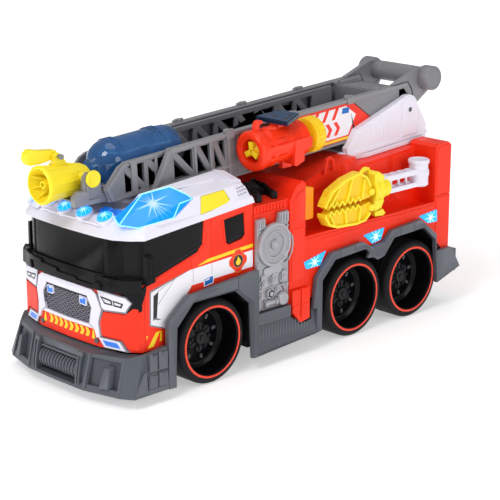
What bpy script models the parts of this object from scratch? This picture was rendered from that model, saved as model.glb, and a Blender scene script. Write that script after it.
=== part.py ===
"""Toy fire engine with spinning wheels, a raising and extending ladder, a water nozzle, a dart
launcher and a swing-out rescue tool.

Frame: metres, +Z up, the ground at z = 0 and the origin on it below the middle of the vehicle.
The nose points to -Y and +X is the vehicle's left side. The body is symmetric about X = 0.
"""

import math

import bmesh
import bpy
from mathutils import Matrix, Vector

# ---- driving dimensions -------------------------------------------------------------------
GAP = 0.0003  # clearance kept between neighbouring pieces
WALL = 0.0024  # wall of the moulded shells
FENDER_X = 0.0674  # outer face of the fenders, the widest part
SKIRT_THICKNESS = 0.0035
BODY_X = 0.0630  # side plane of the rear body
CAB_X = 0.0605  # side plane of the cab
CAB_REAR_Y = -0.0460

TYRE_RADIUS = 0.0300
TYRE_HOLE = 0.0252
TYRE_HALF_WIDTH = 0.0120
WHEEL_X = 0.0515
AXLE_RADIUS = 0.0015
AXLE_HALF_LENGTH = 0.0477
AXLE_Y = {"front": -0.0867, "middle": 0.0555, "rear": 0.1206}
ROUND_STEPS = 24

TUB_X = 0.0368  # half width of the chassis tub between the wheels
TUB_BOTTOM = 0.0140
TUB_FLOOR = 0.0165
TUB_TOP = 0.0600

PIVOT_Y = 0.1475  # ladder's lifting pin
PIVOT_Z = 0.1540
LADDER_TILT = math.atan(0.0625)  # the stowed ladder dips towards the nose
LADDER_X = 0.0270  # outer face of the outer ladder
INNER_X = 0.0217  # outer face of the sliding ladder
LADDER_TOP = 0.0195  # rail height above the pivot line
LADDER_BOTTOM = -0.0133

NOZZLE_Y = -0.1520  # trunnion of the water nozzle
NOZZLE_Z = 0.1472
LEVER_X = -0.0060  # pump lever, beside the middle
LEVER_Y = -0.1640
LEVER_Z = 0.1610

LAUNCHER_X = 0.0425
LAUNCHER_Y = -0.0320  # muzzle
LAUNCHER_Z = 0.1500
LAUNCHER_RADIUS = 0.0140

REEL_Y = -0.0300
REEL_Z = 0.0880
REEL_RADIUS = 0.0155

ARM_X = 0.0560  # vertical swing axis of the rescue tool
ARM_Y = 0.1340
JAW_Y = 0.0700
JAW_X = (0.0580, 0.0660)
UPPER_JAW_Z = 0.1080
LOWER_JAW_Z = 0.0962
TRIGGER_Y = 0.0800
TRIGGER_Z = 0.0930

COLOURS = {  # base colour, roughness, metallic
    "red_plastic": ((0.80, 0.040, 0.012), 0.35, 0.0),
    "white_plastic": ((0.85, 0.86, 0.90), 0.35, 0.0),
    "black_plastic": ((0.012, 0.012, 0.014), 0.30, 0.0),
    "dark_grey_plastic": ((0.075, 0.082, 0.092), 0.45, 0.0),
    "ladder_grey_plastic": ((0.21, 0.215, 0.225), 0.45, 0.0),
    "silver_plastic": ((0.36, 0.37, 0.39), 0.35, 0.4),
    "yellow_plastic": ((0.93, 0.62, 0.02), 0.35, 0.0),
    "orange_plastic": ((0.88, 0.075, 0.010), 0.35, 0.0),
    "blue_lens": ((0.01, 0.30, 0.80), 0.10, 0.0),
    "navy_plastic": ((0.010, 0.035, 0.12), 0.20, 0.0),
    "blue_bottle": ((0.05, 0.22, 0.50), 0.10, 0.0),
    "tyre_rubber": ((0.018, 0.018, 0.020), 0.60, 0.0),
    "steel": ((0.55, 0.56, 0.58), 0.25, 1.0),
    "circuit_green": ((0.01, 0.12, 0.04), 0.50, 0.0),
    "battery_wrap": ((0.10, 0.10, 0.11), 0.35, 0.0),
}


# ---- scene helpers ------------------------------------------------------------------------
def clear_scene():
    for item in list(bpy.data.objects):
        bpy.data.objects.remove(item, do_unlink=True)


def parts_collection():
    collection = bpy.data.collections.new("toy_fire_engine")
    bpy.context.scene.collection.children.link(collection)
    return collection


def paint(name):
    """The material of that name, made the first time it is asked for."""
    material = bpy.data.materials.get(name)
    if material is None:
        colour, roughness, metallic = COLOURS[name]
        material = bpy.data.materials.new(name)
        material.use_nodes = True
        shader = material.node_tree.nodes["Principled BSDF"]
        shader.inputs["Base Color"].default_value = (*colour, 1)
        shader.inputs["Roughness"].default_value = roughness
        shader.inputs["Metallic"].default_value = metallic
    return material


def solid_from(bm, name, colour):
    """A mesh object from a bmesh, with its faces pointing out."""
    bmesh.ops.recalc_face_normals(bm, faces=bm.faces)
    mesh = bpy.data.meshes.new(name)
    bm.to_mesh(mesh)
    bm.free()
    solid = bpy.data.objects.new(name, mesh)
    PARTS.objects.link(solid)
    if colour:
        mesh.materials.append(paint(colour))
    return solid


def bake(solid):
    """Replaces an object's mesh by the one its modifiers make."""
    bpy.context.view_layer.update()
    graph = bpy.context.evaluated_depsgraph_get()
    mesh = bpy.data.meshes.new_from_object(solid.evaluated_get(graph))
    solid.modifiers.clear()
    solid.data = mesh


def combine(solid, other, operation):
    """Joins, cuts or intersects with another solid, which is used up."""
    modifier = solid.modifiers.new(operation, "BOOLEAN")
    modifier.operation = operation
    modifier.object = other
    bake(solid)
    bpy.data.objects.remove(other, do_unlink=True)
    return solid


def cut(solid, *cutters):
    for cutter in cutters:
        combine(solid, cutter, "DIFFERENCE")
    return solid


def join(solid, *others):
    for other in others:
        combine(solid, other, "UNION")
    return solid


def smooth(solid, angle=40):
    """Shades a round piece smooth."""
    solid.data.shade_smooth()
    solid.data.set_sharp_from_angle(angle=math.radians(angle))
    return solid


def moved(solid, matrix):
    solid.data.transform(matrix)
    if matrix.determinant() < 0:
        solid.data.flip_normals()
    return solid


def mirrored(solid, name):
    """The same piece on the vehicle's other side."""
    twin = solid.copy()
    twin.data = solid.data.copy()
    twin.name = name
    PARTS.objects.link(twin)
    return moved(twin, Matrix.Scale(-1, 4, (1, 0, 0)))


# ---- shapes -------------------------------------------------------------------------------
ACROSS = {  # columns: where an outline's two coordinates and the extrusion point to
    "X": Matrix(((0, 0, 1), (1, 0, 0), (0, 1, 0))),
    "Y": Matrix(((1, 0, 0), (0, 0, -1), (0, 1, 0))),
    "Z": Matrix.Identity(3),
}


def box(name, low, high, colour=None):
    bm = bmesh.new()
    bmesh.ops.create_cube(bm, size=1)
    size = [high[i] - low[i] for i in range(3)]
    middle = [(high[i] + low[i]) / 2 for i in range(3)]
    bmesh.ops.scale(bm, vec=size, verts=bm.verts)
    bmesh.ops.translate(bm, vec=middle, verts=bm.verts)
    return solid_from(bm, name, colour)


def rod(name, centre, radius, length, across, colour=None, sides=ROUND_STEPS):
    """A cylinder along one axis, centred on a point."""
    bm = bmesh.new()
    bmesh.ops.create_cone(
        bm, cap_ends=True, segments=sides, radius1=radius, radius2=radius, depth=length
    )
    bmesh.ops.transform(bm, matrix=ACROSS[across].to_4x4(), verts=bm.verts)
    bmesh.ops.translate(bm, vec=centre, verts=bm.verts)
    return smooth(solid_from(bm, name, colour))


def prism(name, outline, span, across, colour=None):
    """A flat outline extruded along an axis: (y, z) along X, (x, z) along Y or (x, y) along Z."""
    curve = bpy.data.curves.new(name, "CURVE")
    curve.dimensions = "2D"
    curve.fill_mode = "BOTH"
    curve.extrude = (span[1] - span[0]) / 2
    spline = curve.splines.new("POLY")
    spline.points.add(len(outline) - 1)
    for point, (u, v) in zip(spline.points, outline):
        point.co = (u, v, 0, 1)
    spline.use_cyclic_u = True
    guide = bpy.data.objects.new(name, curve)
    PARTS.objects.link(guide)
    bpy.context.view_layer.update()
    graph = bpy.context.evaluated_depsgraph_get()
    mesh = bpy.data.meshes.new_from_object(guide.evaluated_get(graph))
    bpy.data.objects.remove(guide, do_unlink=True)
    bm = bmesh.new()
    bm.from_mesh(mesh)
    bmesh.ops.remove_doubles(bm, verts=bm.verts, dist=0.000001)
    middle = (span[0] + span[1]) / 2
    offset = ACROSS[across] @ Vector((0, 0, middle if across != "Y" else -middle))
    bmesh.ops.transform(bm, matrix=ACROSS[across].to_4x4(), verts=bm.verts)
    bmesh.ops.translate(bm, vec=offset, verts=bm.verts)
    return solid_from(bm, name, colour)


def loft(name, loops, colour=None):
    """A solid through loops of equally many points, each in order round the solid."""
    bm = bmesh.new()
    rings = [[bm.verts.new(point) for point in loop] for loop in loops]
    count = len(rings[0])
    for lower, upper in zip(rings, rings[1:]):
        for i in range(count):
            j = (i + 1) % count
            bm.faces.new((lower[i], lower[j], upper[j], upper[i]))
    bm.faces.new(rings[0])
    bm.faces.new(rings[-1])
    bmesh.ops.triangulate(bm, faces=bm.faces)
    return solid_from(bm, name, colour)


def hull(name, points, colour=None):
    bm = bmesh.new()
    for point in points:
        bm.verts.new(point)
    found = bmesh.ops.convex_hull(bm, input=bm.verts)
    unused = {item for item in found["geom_interior"] if isinstance(item, bmesh.types.BMVert)}
    bmesh.ops.delete(bm, geom=list(unused), context="VERTS")
    return solid_from(bm, name, colour)


def turned(name, profile, colour=None, steps=ROUND_STEPS):
    """A closed (radius, height) profile turned about Z; it runs down its outer side."""
    mesh = bpy.data.meshes.new(name)
    count = len(profile)
    edges = [(i, (i + 1) % count) for i in range(count)]
    if profile[0][0] == 0 and profile[-1][0] == 0:
        edges.pop()
    mesh.from_pydata([(r, 0, h) for r, h in profile], edges, [])
    solid = bpy.data.objects.new(name, mesh)
    PARTS.objects.link(solid)
    screw = solid.modifiers.new("Screw", "SCREW")
    screw.steps = screw.render_steps = steps
    screw.use_merge_vertices = True
    screw.merge_threshold = 0.00001
    bake(solid)
    if colour:
        solid.data.materials.append(paint(colour))
    return smooth(solid)


def mirror_outline(half):
    """A closed plan outline from its +X half, which runs from the middle of the nose backwards."""
    other = [(-x, y) for x, y in reversed(half) if x > 0]
    return half + other


def offset_path(path, distance):
    """An open (y, z) path moved sideways by a distance, mitred at its corners."""
    moved_path = []
    for i, point in enumerate(path):
        here = Vector(point)
        before = here - Vector(path[i - 1]) if i else None
        after = Vector(path[i + 1]) - here if i + 1 < len(path) else None
        first = (before or after).normalized()
        second = (after or before).normalized()
        normal = Vector((-first.y - second.y, first.x + second.x)).normalized()
        scale = distance / max(normal.dot(Vector((-first.y, first.x))), 0.3)
        moved_path.append(tuple(here + normal * scale))
    return moved_path


def pivot(name, place, parent=None):
    """An empty on a joint's axis; the pieces that move there hang from it."""
    empty = bpy.data.objects.new(name, None)
    empty.location = place
    PARTS.objects.link(empty)
    if parent:
        hang(empty, parent)
    return empty


def hang(item, parent):
    bpy.context.view_layer.update()
    item.parent = parent
    item.matrix_parent_inverse = parent.matrix_world.inverted()


# ---- wheels -------------------------------------------------------------------------------
def make_tyre(name):
    shoulder = 0.0025
    half = TYRE_HALF_WIDTH
    profile = [
        (TYRE_HOLE, half),
        (TYRE_RADIUS - shoulder, half),
        (TYRE_RADIUS, half - shoulder),
        (TYRE_RADIUS, shoulder - half),
        (TYRE_RADIUS - shoulder, -half),
        (TYRE_HOLE, -half),
    ]
    return turned(name, profile, "tyre_rubber")


def make_rim(name):
    """A deep dish with a raised hub and a blind hole for the axle."""
    barrel = TYRE_HOLE - GAP
    hole = AXLE_RADIUS + 2 * GAP
    front = 0.0121
    back = -0.0116
    disc = -0.0045
    hub_face = -0.0015
    profile = [
        (0, hub_face),
        (0.0065, hub_face),
        (0.0080, disc + 0.0010),
        (0.0190, disc),
        (0.0225, disc + 0.0020),
        (0.0230, front - 0.0010),
        (0.0238, front),
        (barrel, front),
        (barrel, back),
        (0.0235, back),
        (0.0225, disc - 0.0024),
        (0.0065, disc - 0.0024),
        (0.0055, back),
        (hole, back),
        (hole, hub_face - 0.0020),
        (0, hub_face - 0.0020),
    ]
    return turned(name, profile, "black_plastic")


def make_wheels():
    for place, y in AXLE_Y.items():
        spin = pivot(f"{place}_axle_spin", (0, y, TYRE_RADIUS))
        axle = rod(f"{place}_axle", (0, y, TYRE_RADIUS), AXLE_RADIUS, 2 * AXLE_HALF_LENGTH, "X", "steel", 12)
        hang(axle, spin)
        for side, sign in (("left", 1), ("right", -1)):
            turn = Matrix.Rotation(sign * math.pi / 2, 4, "Y")
            seat = Matrix.Translation((sign * WHEEL_X, y, TYRE_RADIUS)) @ turn
            hang(moved(make_rim(f"{place}_{side}_rim"), seat), spin)
            hang(moved(make_tyre(f"{place}_{side}_tyre"), seat), spin)


# ---- chassis, bumpers and skirts ----------------------------------------------------------
FRONT_ARCH = [
    (-0.1210, 0.0200),
    (-0.1199, 0.0481),
    (-0.1055, 0.0623),
    (-0.0670, 0.0622),
    (-0.0537, 0.0505),
    (-0.0524, 0.0200),
]
REAR_ARCH = [
    (0.0169, 0.0200),
    (0.0172, 0.0519),
    (0.0305, 0.0649),
    (0.0638, 0.0665),
    (0.0764, 0.0555),
    (0.0841, 0.0570),
    (0.0949, 0.0688),
    (0.1296, 0.0701),
    (0.1433, 0.0578),
    (0.1462, 0.0225),
]
LINER = 0.0020  # thickness of the wheel arch liners
REAR_LINER = REAR_ARCH[:-1] + [(0.1522, 0.0480), (0.1526, 0.0225)]  # clears the tyre under the flap


def arch_cutter(path):
    """Everything inside and just above a wheel arch, right through the vehicle."""
    outer = offset_path(path, LINER + GAP)
    low = -0.01
    outline = [(outer[0][0], low)] + outer + [(outer[-1][0], low)]
    return prism("arch_cutter", outline, (-0.1, 0.1), "X")


def tub_cutter():
    """The room that the tub takes where the cab and the rear body meet over it."""
    side = TUB_X + GAP
    return box("tub_cutter", (-side, -0.0600, 0), (side, -0.0300, TUB_TOP + GAP))


def make_chassis():
    """A tub between the wheels, open at the top, with arch liners and side boxes."""
    side = FENDER_X - SKIRT_THICKNESS - GAP
    tub = box("chassis", (-TUB_X, -0.1390, TUB_BOTTOM), (TUB_X, 0.1520, TUB_TOP), "black_plastic")
    nose = box("nose_block", (-0.050, -0.1500, 0.0160), (0.050, -0.1240, 0.0320))
    join(tub, nose)
    cut(tub, box("inside", (-TUB_X + WALL, -0.1366, TUB_FLOOR), (TUB_X - WALL, 0.1496, 0.08)))
    for sign in (1, -1):
        for path in (FRONT_ARCH, REAR_LINER):
            outline = path + list(reversed(offset_path(path, LINER)))
            span = sorted((sign * (TUB_X - 0.001), sign * side))
            join(tub, prism("liner", outline, span, "X"))
        edges = sorted((sign * (TUB_X - 0.001), sign * 0.0600))
        join(
            tub,
            box("side_box", (edges[0], -0.0508, 0.0160), (edges[1], 0.0160, 0.0358)),
            box("tail_box", (edges[0], 0.1530, 0.0240), (edges[1], 0.1630, 0.0385)),
        )
    for y in AXLE_Y.values():
        cut(tub, rod("axle_hole", (0, y, TYRE_RADIUS), AXLE_RADIUS + 0.0005, 0.2, "X", None, 16))
    cut(tub, box("battery_opening", (-0.0195, -0.0430, 0), (0.0195, 0.0180, 0.018)))
    return tub


def make_electrics():
    """A battery door flush with the tub's floor, cells, circuit board and speaker."""
    door_low = TUB_BOTTOM + GAP
    box("battery_door", (-0.0192, -0.0427, door_low), (0.0192, 0.0177, TUB_FLOOR), "black_plastic")
    for number, x in enumerate((-0.0085, 0.0085), 1):
        name = f"battery_{number}"
        rod(name, (x, -0.0125, 0.0241), 0.0072, 0.0505, "Y", "battery_wrap", 16)
    box("circuit_board", (-0.0200, -0.1320, 0.0168), (0.0200, -0.0960, 0.0184), "circuit_green")
    rod("speaker", (0, -0.0630, 0.0213), 0.0140, 0.0090, "Z", "steel")


def make_front_bumper():
    """A deep wrap-round bumper with a ribbed winch drum moulded in its middle."""
    low_half = [(0, -0.1735), (0.0293, -0.1729), (0.0586, -0.1655), (FENDER_X, -0.1600)]
    low_half.append((FENDER_X, -0.1299))
    top_half = [(0, -0.1665), (0.0301, -0.1662), (0.0572, -0.1582), (0.0645, -0.1500)]
    top_half.append((0.0660, -0.1299))
    heights = {0: 0.0333, 0.0301: 0.0333, 0.0572: 0.0341, 0.0645: 0.0365, 0.0660: 0.0380}
    bottom = [(x, y, 0.0085) for x, y in mirror_outline(low_half)]
    top = [(x, y, heights[abs(x)]) for x, y in mirror_outline(top_half)]
    bumper = loft("front_bumper", [bottom, top], "dark_grey_plastic")
    hollow_half = [(0, -0.1545), (0.0470, -0.1545), (0.0617, -0.1480), (0.0617, -0.12)]
    cut(bumper, prism("hollow", mirror_outline(hollow_half), (0, 0.05), "Z"))
    cut(bumper, box("winch_bay", (-0.0215, -0.19, 0.0105), (0.0215, -0.1610, 0.0290)))
    join(bumper, rod("winch_drum", (0, -0.1640, 0.0185), 0.0062, 0.0450, "X"))
    for sign in (1, -1):
        scoop = [
            (sign * 0.0320, -0.1680, 0.0130),
            (sign * 0.0560, -0.1615, 0.0130),
            (sign * 0.0550, -0.1580, 0.0310),
            (sign * 0.0325, -0.1645, 0.0310),
            (sign * 0.0320, -0.1800, 0.0130),
            (sign * 0.0560, -0.1735, 0.0130),
            (sign * 0.0550, -0.1700, 0.0310),
            (sign * 0.0325, -0.1765, 0.0310),
        ]
        cut(bumper, hull("scoop", scoop))
    return bumper


def make_skirts():
    """The fenders, sill and rear flap of one side, as one plate."""
    top_edge = [
        (-0.1296, 0.0080),
        (-0.1296, 0.0540),
        (-0.1109, 0.0688),
        (-0.0464, 0.0732),
        (-0.0464, 0.0410),
        (-0.0153, 0.0410),
        (-0.0153, 0.0330),
        (-0.0040, 0.0235),
        (0.0076, 0.0250),
        (0.0113, 0.0548),
        (0.0273, 0.0706),
        (0.0601, 0.0722),
        (0.0701, 0.0663),
        (0.0842, 0.0675),
        (0.0925, 0.0747),
        (0.1255, 0.0770),
        (0.1445, 0.0620),
        (0.1450, 0.0484),
        (0.1633, 0.0479),
        (0.1742, 0.0306),
        (0.1470, 0.0224),
    ]
    rear_arch = [point for point in reversed(REAR_ARCH[1:-1])] + [(0.0169, 0.0141)]
    front_arch = [(-0.0517, 0.0099)] + [point for point in reversed(FRONT_ARCH[1:-1])]
    outline = top_edge + rear_arch + front_arch + [(-0.1214, 0.0076)]
    span = (FENDER_X - SKIRT_THICKNESS, FENDER_X)
    left = prism("left_skirt", outline, span, "X", "dark_grey_plastic")
    mirrored(left, "right_skirt")
    tail = box("rear_bumper", (-0.0632, 0.1643, 0.0260), (0.0632, 0.1742, 0.0440), "dark_grey_plastic")
    cut(tail, box("step", (-0.0480, 0.1700, 0.0360), (0.0480, 0.18, 0.05)))


# ---- cab ----------------------------------------------------------------------------------
CAB_HALF = [
    (0, -0.1605),
    (0.0310, -0.1594),
    (0.0536, -0.1529),
    (CAB_X, -0.1470),
    (CAB_X, CAB_REAR_Y),
]
CAB_FLOOR = 0.0362
WINDOW_BAND = [  # (y, z) of the black glazing seen from the side
    (-0.2000, 0.0765),
    (-0.1560, 0.0765),
    (-0.1475, 0.0700),
    (-0.1455, 0.0820),
    (-0.1350, 0.0844),
    (-0.0972, 0.0951),
    (-0.0926, 0.0990),
    (-0.0916, 0.1140),
    (-0.0905, 0.1300),
    (-0.2000, 0.1300),
]
REAR_WINDOW = [(-0.0734, 0.1125), (-0.0548, 0.1145), (-0.0538, 0.0985), (-0.0570, 0.0962)]
REAR_WINDOW += [(-0.0690, 0.0945), (-0.0712, 0.0965)]


def eave(y):
    """Height of the joint between cab and roof, which climbs towards the rear."""
    return 0.1117 + max(y + 0.1445, 0) * 0.083


def shrink(half, distance):
    """A plan half-outline moved inwards; its last point also moves forwards."""
    x_last = half[-1][0] - distance
    y_last = half[-1][1] - distance
    inner = [(max(x - distance, 0), y + distance) for x, y in half[:-1]]
    return inner[:-1] + [(x_last, inner[-1][1]), (x_last, y_last)]


def cab_walls():
    """The cab as a hollow shell open at the bottom, glazing and body not yet separated."""
    plan = mirror_outline(CAB_HALF)
    inner = mirror_outline(shrink(CAB_HALF, WALL))
    bottom = [(x, y, CAB_FLOOR) for x, y in plan]
    top = [(x, y, eave(y)) for x, y in plan]
    walls = loft("cab_walls", [bottom, top])
    low = [(x, y, 0.02) for x, y in inner]
    high = [(x, y, eave(y) - WALL) for x, y in inner]
    return cut(walls, loft("inside", [low, high]))


def make_cab():
    shell = cab_walls()
    shell.name = "cab_shell"
    shell.data.materials.append(paint("red_plastic"))
    cut(shell, arch_cutter(FRONT_ARCH), tub_cutter())
    cut(shell, prism("band", WINDOW_BAND, (-0.1, 0.1), "X"))
    cut(shell, prism("rear_window", REAR_WINDOW, (-0.1, 0.1), "X"))

    glass = cab_walls()
    glass.name = "windshield"
    glass.data.materials.append(paint("black_plastic"))
    centre = Vector((-0.150, 0.100))
    inset = [tuple(Vector(p) + (centre - Vector(p)).normalized() * 2 * GAP) for p in WINDOW_BAND[1:9]]
    inset = [(-0.2, 0.0771)] + inset + [(-0.2, 0.1290)]
    combine(glass, prism("band", inset, (-0.1, 0.1), "X"), "INTERSECT")
    low_half = [(0, -0.1645), (0.0320, -0.1632), (0.0570, -0.1565), (0.0626, -0.1500)]
    low_half.append((0.0626, -0.1475))
    top_half = [(0, -0.1632), (0.0315, -0.1620), (0.0560, -0.1555), (0.0615, -0.1495)]
    top_half.append((0.0615, -0.1475))
    bottom = [(x, y, 0.0772) for x, y in mirror_outline(low_half)]
    top = [(x, y, 0.0880) for x, y in mirror_outline(top_half)]
    brow = loft("brow", [bottom, top])
    inside = [(0, -0.1594), (0.0306, -0.1583), (0.0528, -0.1521), (0.0590, -0.1463), (0.0590, -0.14)]
    cut(brow, prism("inside", mirror_outline(inside), (0, 0.2), "Z"))
    join(glass, brow)

    left_window = prism(
        "left_rear_window",
        [(y + s * GAP, z + t * GAP) for (y, z), (s, t) in zip(REAR_WINDOW, WINDOW_INSET)],
        (CAB_X - WALL, CAB_X),
        "X",
        "black_plastic",
    )
    mirrored(left_window, "right_rear_window")
    left_mirror = prism(
        "left_mirror",
        [(0, 0), (0.0040, 0.0015), (0.0040, 0.0085), (0, 0.0095)],
        (0.0820, 0.1020),
        "Z",
        "black_plastic",
    )
    moved(left_mirror, Matrix.Translation((CAB_X + GAP, -0.1450, 0)))
    mirrored(left_mirror, "right_mirror")


WINDOW_INSET = [(1, -1), (-1, -1), (-1, 1), (-1, 1), (1, 1), (1, 1)]


# ---- roof ---------------------------------------------------------------------------------
BEACON = [  # corners of the left beacon
    (0.0480, -0.1540, 0.1215),
    (0.0555, -0.1440, 0.1190),
    (0.0590, -0.1165, 0.1215),
    (0.0550, -0.1078, 0.1292),
    (0.0555, -0.0970, 0.1305),
    (0.0510, -0.0985, 0.1334),
    (0.0430, -0.1058, 0.1383),
    (0.0350, -0.1242, 0.1350),
    (0.0360, -0.1480, 0.1235),
    (0.0350, -0.1060, 0.1290),
]
BUTTON = [  # outer corners of the sound button, on the roof's sloping side
    (0.0570, -0.0900, 0.1312),
    (0.0562, -0.0690, 0.1320),
    (0.0588, -0.0645, 0.1222),
    (0.0598, -0.0938, 0.1200),
]
BUTTON_TRAVEL = 0.0020


def swollen(solid, margin):
    """Moves every face of a convex solid outwards by about a margin."""
    bm = bmesh.new()
    bm.from_mesh(solid.data)
    bm.normal_update()
    steps = [vert.normal * margin * vert.calc_shell_factor() for vert in bm.verts]
    for vert, step in zip(bm.verts, steps):
        vert.co += step
    bm.to_mesh(solid.data)
    bm.free()
    return solid


def button_block(colour=None, name="button_pocket", margin=0.0, depth=0.0030):
    """The button pressed out of the roof's side, or the pocket it slides in."""
    outer = [Vector(p) for p in BUTTON]
    normal = (outer[1] - outer[0]).cross(outer[3] - outer[0]).normalized()
    if normal.x < 0:
        normal = -normal
    middle = sum(outer, Vector()) / 4
    front = [p + (p - middle).normalized() * margin + normal * 0.0006 for p in outer]
    back = [p - normal * depth for p in front]
    return loft(name, [back, front], colour)


def make_roof():
    eave_half = [(0, -0.1615), (0.0310, -0.1604), (0.0460, -0.1580), (0.0560, -0.1515)]
    eave_half += [(0.0622, -0.1445), (0.0622, -0.0458)]
    rim_half = [(0, -0.1580), (0.0310, -0.1570), (0.0450, -0.1545), (0.0545, -0.1485)]
    rim_half += [(0.0605, -0.1430), (0.0605, -0.0458)]
    deck_half = [(0, -0.1500), (0.0300, -0.1495), (0.0430, -0.1470), (0.0510, -0.1420)]
    deck_half += [(0.0560, -0.1360), (0.0590, -0.0458)]
    loops = [
        [(x, y, eave(y) + GAP) for x, y in mirror_outline(eave_half)],
        [(x, y, eave(y) + 0.0035) for x, y in mirror_outline(rim_half)],
        [(x, y, max(0.1225, eave(y) + 0.0045)) for x, y in mirror_outline(deck_half)],
    ]
    roof = loft("cab_roof", loops, "white_plastic")
    for sign in (1, -1):
        shoulder = [
            (sign * 0.0325, -0.1420, 0.1200),
            (sign * 0.0325, -0.1240, 0.1342),
            (sign * 0.0325, -0.0570, 0.1393),
            (sign * 0.0325, -0.0485, 0.1363),
            (sign * 0.0325, -0.0458, 0.1200),
            (sign * 0.0562, -0.0980, 0.1318),
            (sign * 0.0556, -0.0600, 0.1330),
            (sign * 0.0545, -0.0480, 0.1310),
            (sign * 0.0600, -0.1300, 0.1195),
            (sign * 0.0600, -0.0458, 0.1215),
            (sign * 0.0400, -0.1450, 0.1200),
        ]
        join(roof, hull("shoulder", shoulder))
        seat = [(sign * x, y, z) for x, y, z in BEACON]
        seat += [(sign * 0.0650, -0.1500, 0.1350), (sign * 0.0650, -0.1000, 0.1350)]
        cut(roof, swollen(hull("beacon_seat", seat), 1.3 * GAP))
    pocket = button_block(margin=GAP, depth=0.0030 + BUTTON_TRAVEL + 2 * GAP)
    cut(roof, pocket)
    hollow_half = [(0, -0.1520), (0.0300, -0.1510), (0.0500, -0.1400), (0.0520, -0.0490)]
    low = [(x, y, 0.10) for x, y in mirror_outline(hollow_half)]
    high = [(x, y, 0.1200) for x, y in mirror_outline(hollow_half)]
    cut(roof, loft("hollow", [low, high]))

    left_beacon = hull("left_beacon", BEACON, "blue_lens")
    mirrored(left_beacon, "right_beacon")
    lamps = box("roof_lamps", (-0.0345, -0.1535, 0.1232), (0.0345, -0.1465, 0.1242), "blue_lens")
    for x in (-0.030, -0.010, 0.010, 0.030):
        join(lamps, rod("lamp", (x, -0.1500, 0.1243), 0.0045, 0.0022, "Z", None, 12))


def make_button():
    button = button_block("yellow_plastic", "sound_button")
    hang(button, pivot("sound_button_press", sum((Vector(p) for p in BUTTON), Vector()) / 4))


# ---- rear body ----------------------------------------------------------------------------
RECESS_FLOOR = 0.0845
RECESS_X = 0.0430  # back wall of the side recesses


def make_rear_body():
    """One shell behind the cab: pump bay, pillars, side recesses and a deck for the ladder."""
    body = box("rear_body", (-BODY_X, -0.0125, 0.0400), (BODY_X, 0.1640, RECESS_FLOOR), "red_plastic")
    join(body, box("pump_bay", (-0.0610, -0.0455, 0.0400), (0.0610, -0.0120, 0.1170)))
    pillar = [(-0.0125, 0.0800), (-0.0125, 0.1150), (-0.0060, 0.1250), (0.0005, 0.1275)]
    pillar += [(0.0033, 0.1250), (0.0033, 0.0800)]
    join(body, prism("pillars", pillar, (-BODY_X, BODY_X), "X"))
    deck = [(0.0000, 0.0800), (0.0000, 0.1175), (0.0150, 0.1175), (0.0390, 0.1240)]
    deck += [(0.0660, 0.1290), (0.0770, 0.1295), (0.0780, 0.1226), (0.1640, 0.1280), (0.1640, 0.0800)]
    join(body, prism("deck", deck, (-RECESS_X, RECESS_X), "X"))
    tail = [(0.1460, 0.0800), (0.1460, 0.1267), (0.1640, 0.1278), (0.1640, 0.0800)]
    join(body, prism("tail", tail, (-BODY_X, BODY_X), "X"))
    for sign in (1, -1):
        edges = sorted((sign * 0.0605, sign * 0.0660))
        foot = [(-0.0120, 0.0500), (-0.0120, 0.0345), (-0.0040, 0.0250), (0.0055, 0.0265), (0.0055, 0.0500)]
        join(body, prism("foot", foot, edges, "X"))
        post = sorted((sign * 0.0370, sign * BODY_X))
        cap = [(0.1460, 0.1200), (0.1460, 0.1290), (0.1490, 0.1312), (0.1600, 0.1318), (0.1640, 0.1290)]
        cap.append((0.1640, 0.1200))
        join(body, prism("corner_cap", cap, post, "X"))
    inside = [(-0.0080, 0.0500), (-0.0080, 0.1150), (0.0150, 0.1150), (0.0390, 0.1198)]
    inside += [(0.1616, 0.1205), (0.1616, 0.0500)]
    cut(
        body,
        box("inside_low", (-0.0585, -0.0430, 0.0), (0.0585, 0.1616, RECESS_FLOOR - WALL)),
        prism("inside_high", inside, (-0.0400, 0.0400), "X"),
        arch_cutter(REAR_LINER),
        tub_cutter(),
    )
    return body


VALVES = (  # (y, z, radius, height) of the round fittings on a pump panel
    (-0.0395, 0.0645, 0.0032, 0.0016),
    (-0.0285, 0.0645, 0.0032, 0.0016),
    (-0.0195, 0.0645, 0.0032, 0.0016),
    (-0.0335, 0.0530, 0.0036, 0.0024),
    (-0.0215, 0.0470, 0.0046, 0.0030),
)


def make_pump_panels():
    panel = [(-0.0452, 0.0413), (-0.0452, 0.1072), (-0.0375, 0.1078), (-0.0375, 0.1015)]
    panel += [(-0.0250, 0.1025), (-0.0235, 0.1090), (-0.0150, 0.1095), (-0.0142, 0.0413)]
    left = prism("left_pump_panel", panel, (0.0613, 0.0639), "X", "silver_plastic")
    for y, z, radius, height in VALVES:
        place = ((0.0625 + 0.0639 + height) / 2, y, z)
        join(left, rod("valve", place, radius, 0.0014 + height, "X", None, 12))
    mirrored(left, "right_pump_panel")
    for side, sign in (("left", 1), ("right", -1)):
        profile = [(0, 0.0012), (0.0030, 0.0012), (0.0032, 0.0002), (0.0080, 0.0002), (0.0085, 0.0008)]
        profile += [(0.0130, 0.0008), (REEL_RADIUS, -0.0004), (REEL_RADIUS, -0.0016), (0, -0.0016)]
        reel = turned(f"{side}_hose_reel", profile, "silver_plastic")
        turn = Matrix.Rotation(sign * math.pi / 2, 4, "Y")
        moved(reel, Matrix.Translation((sign * 0.0660, REEL_Y, REEL_Z)) @ turn)


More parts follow.
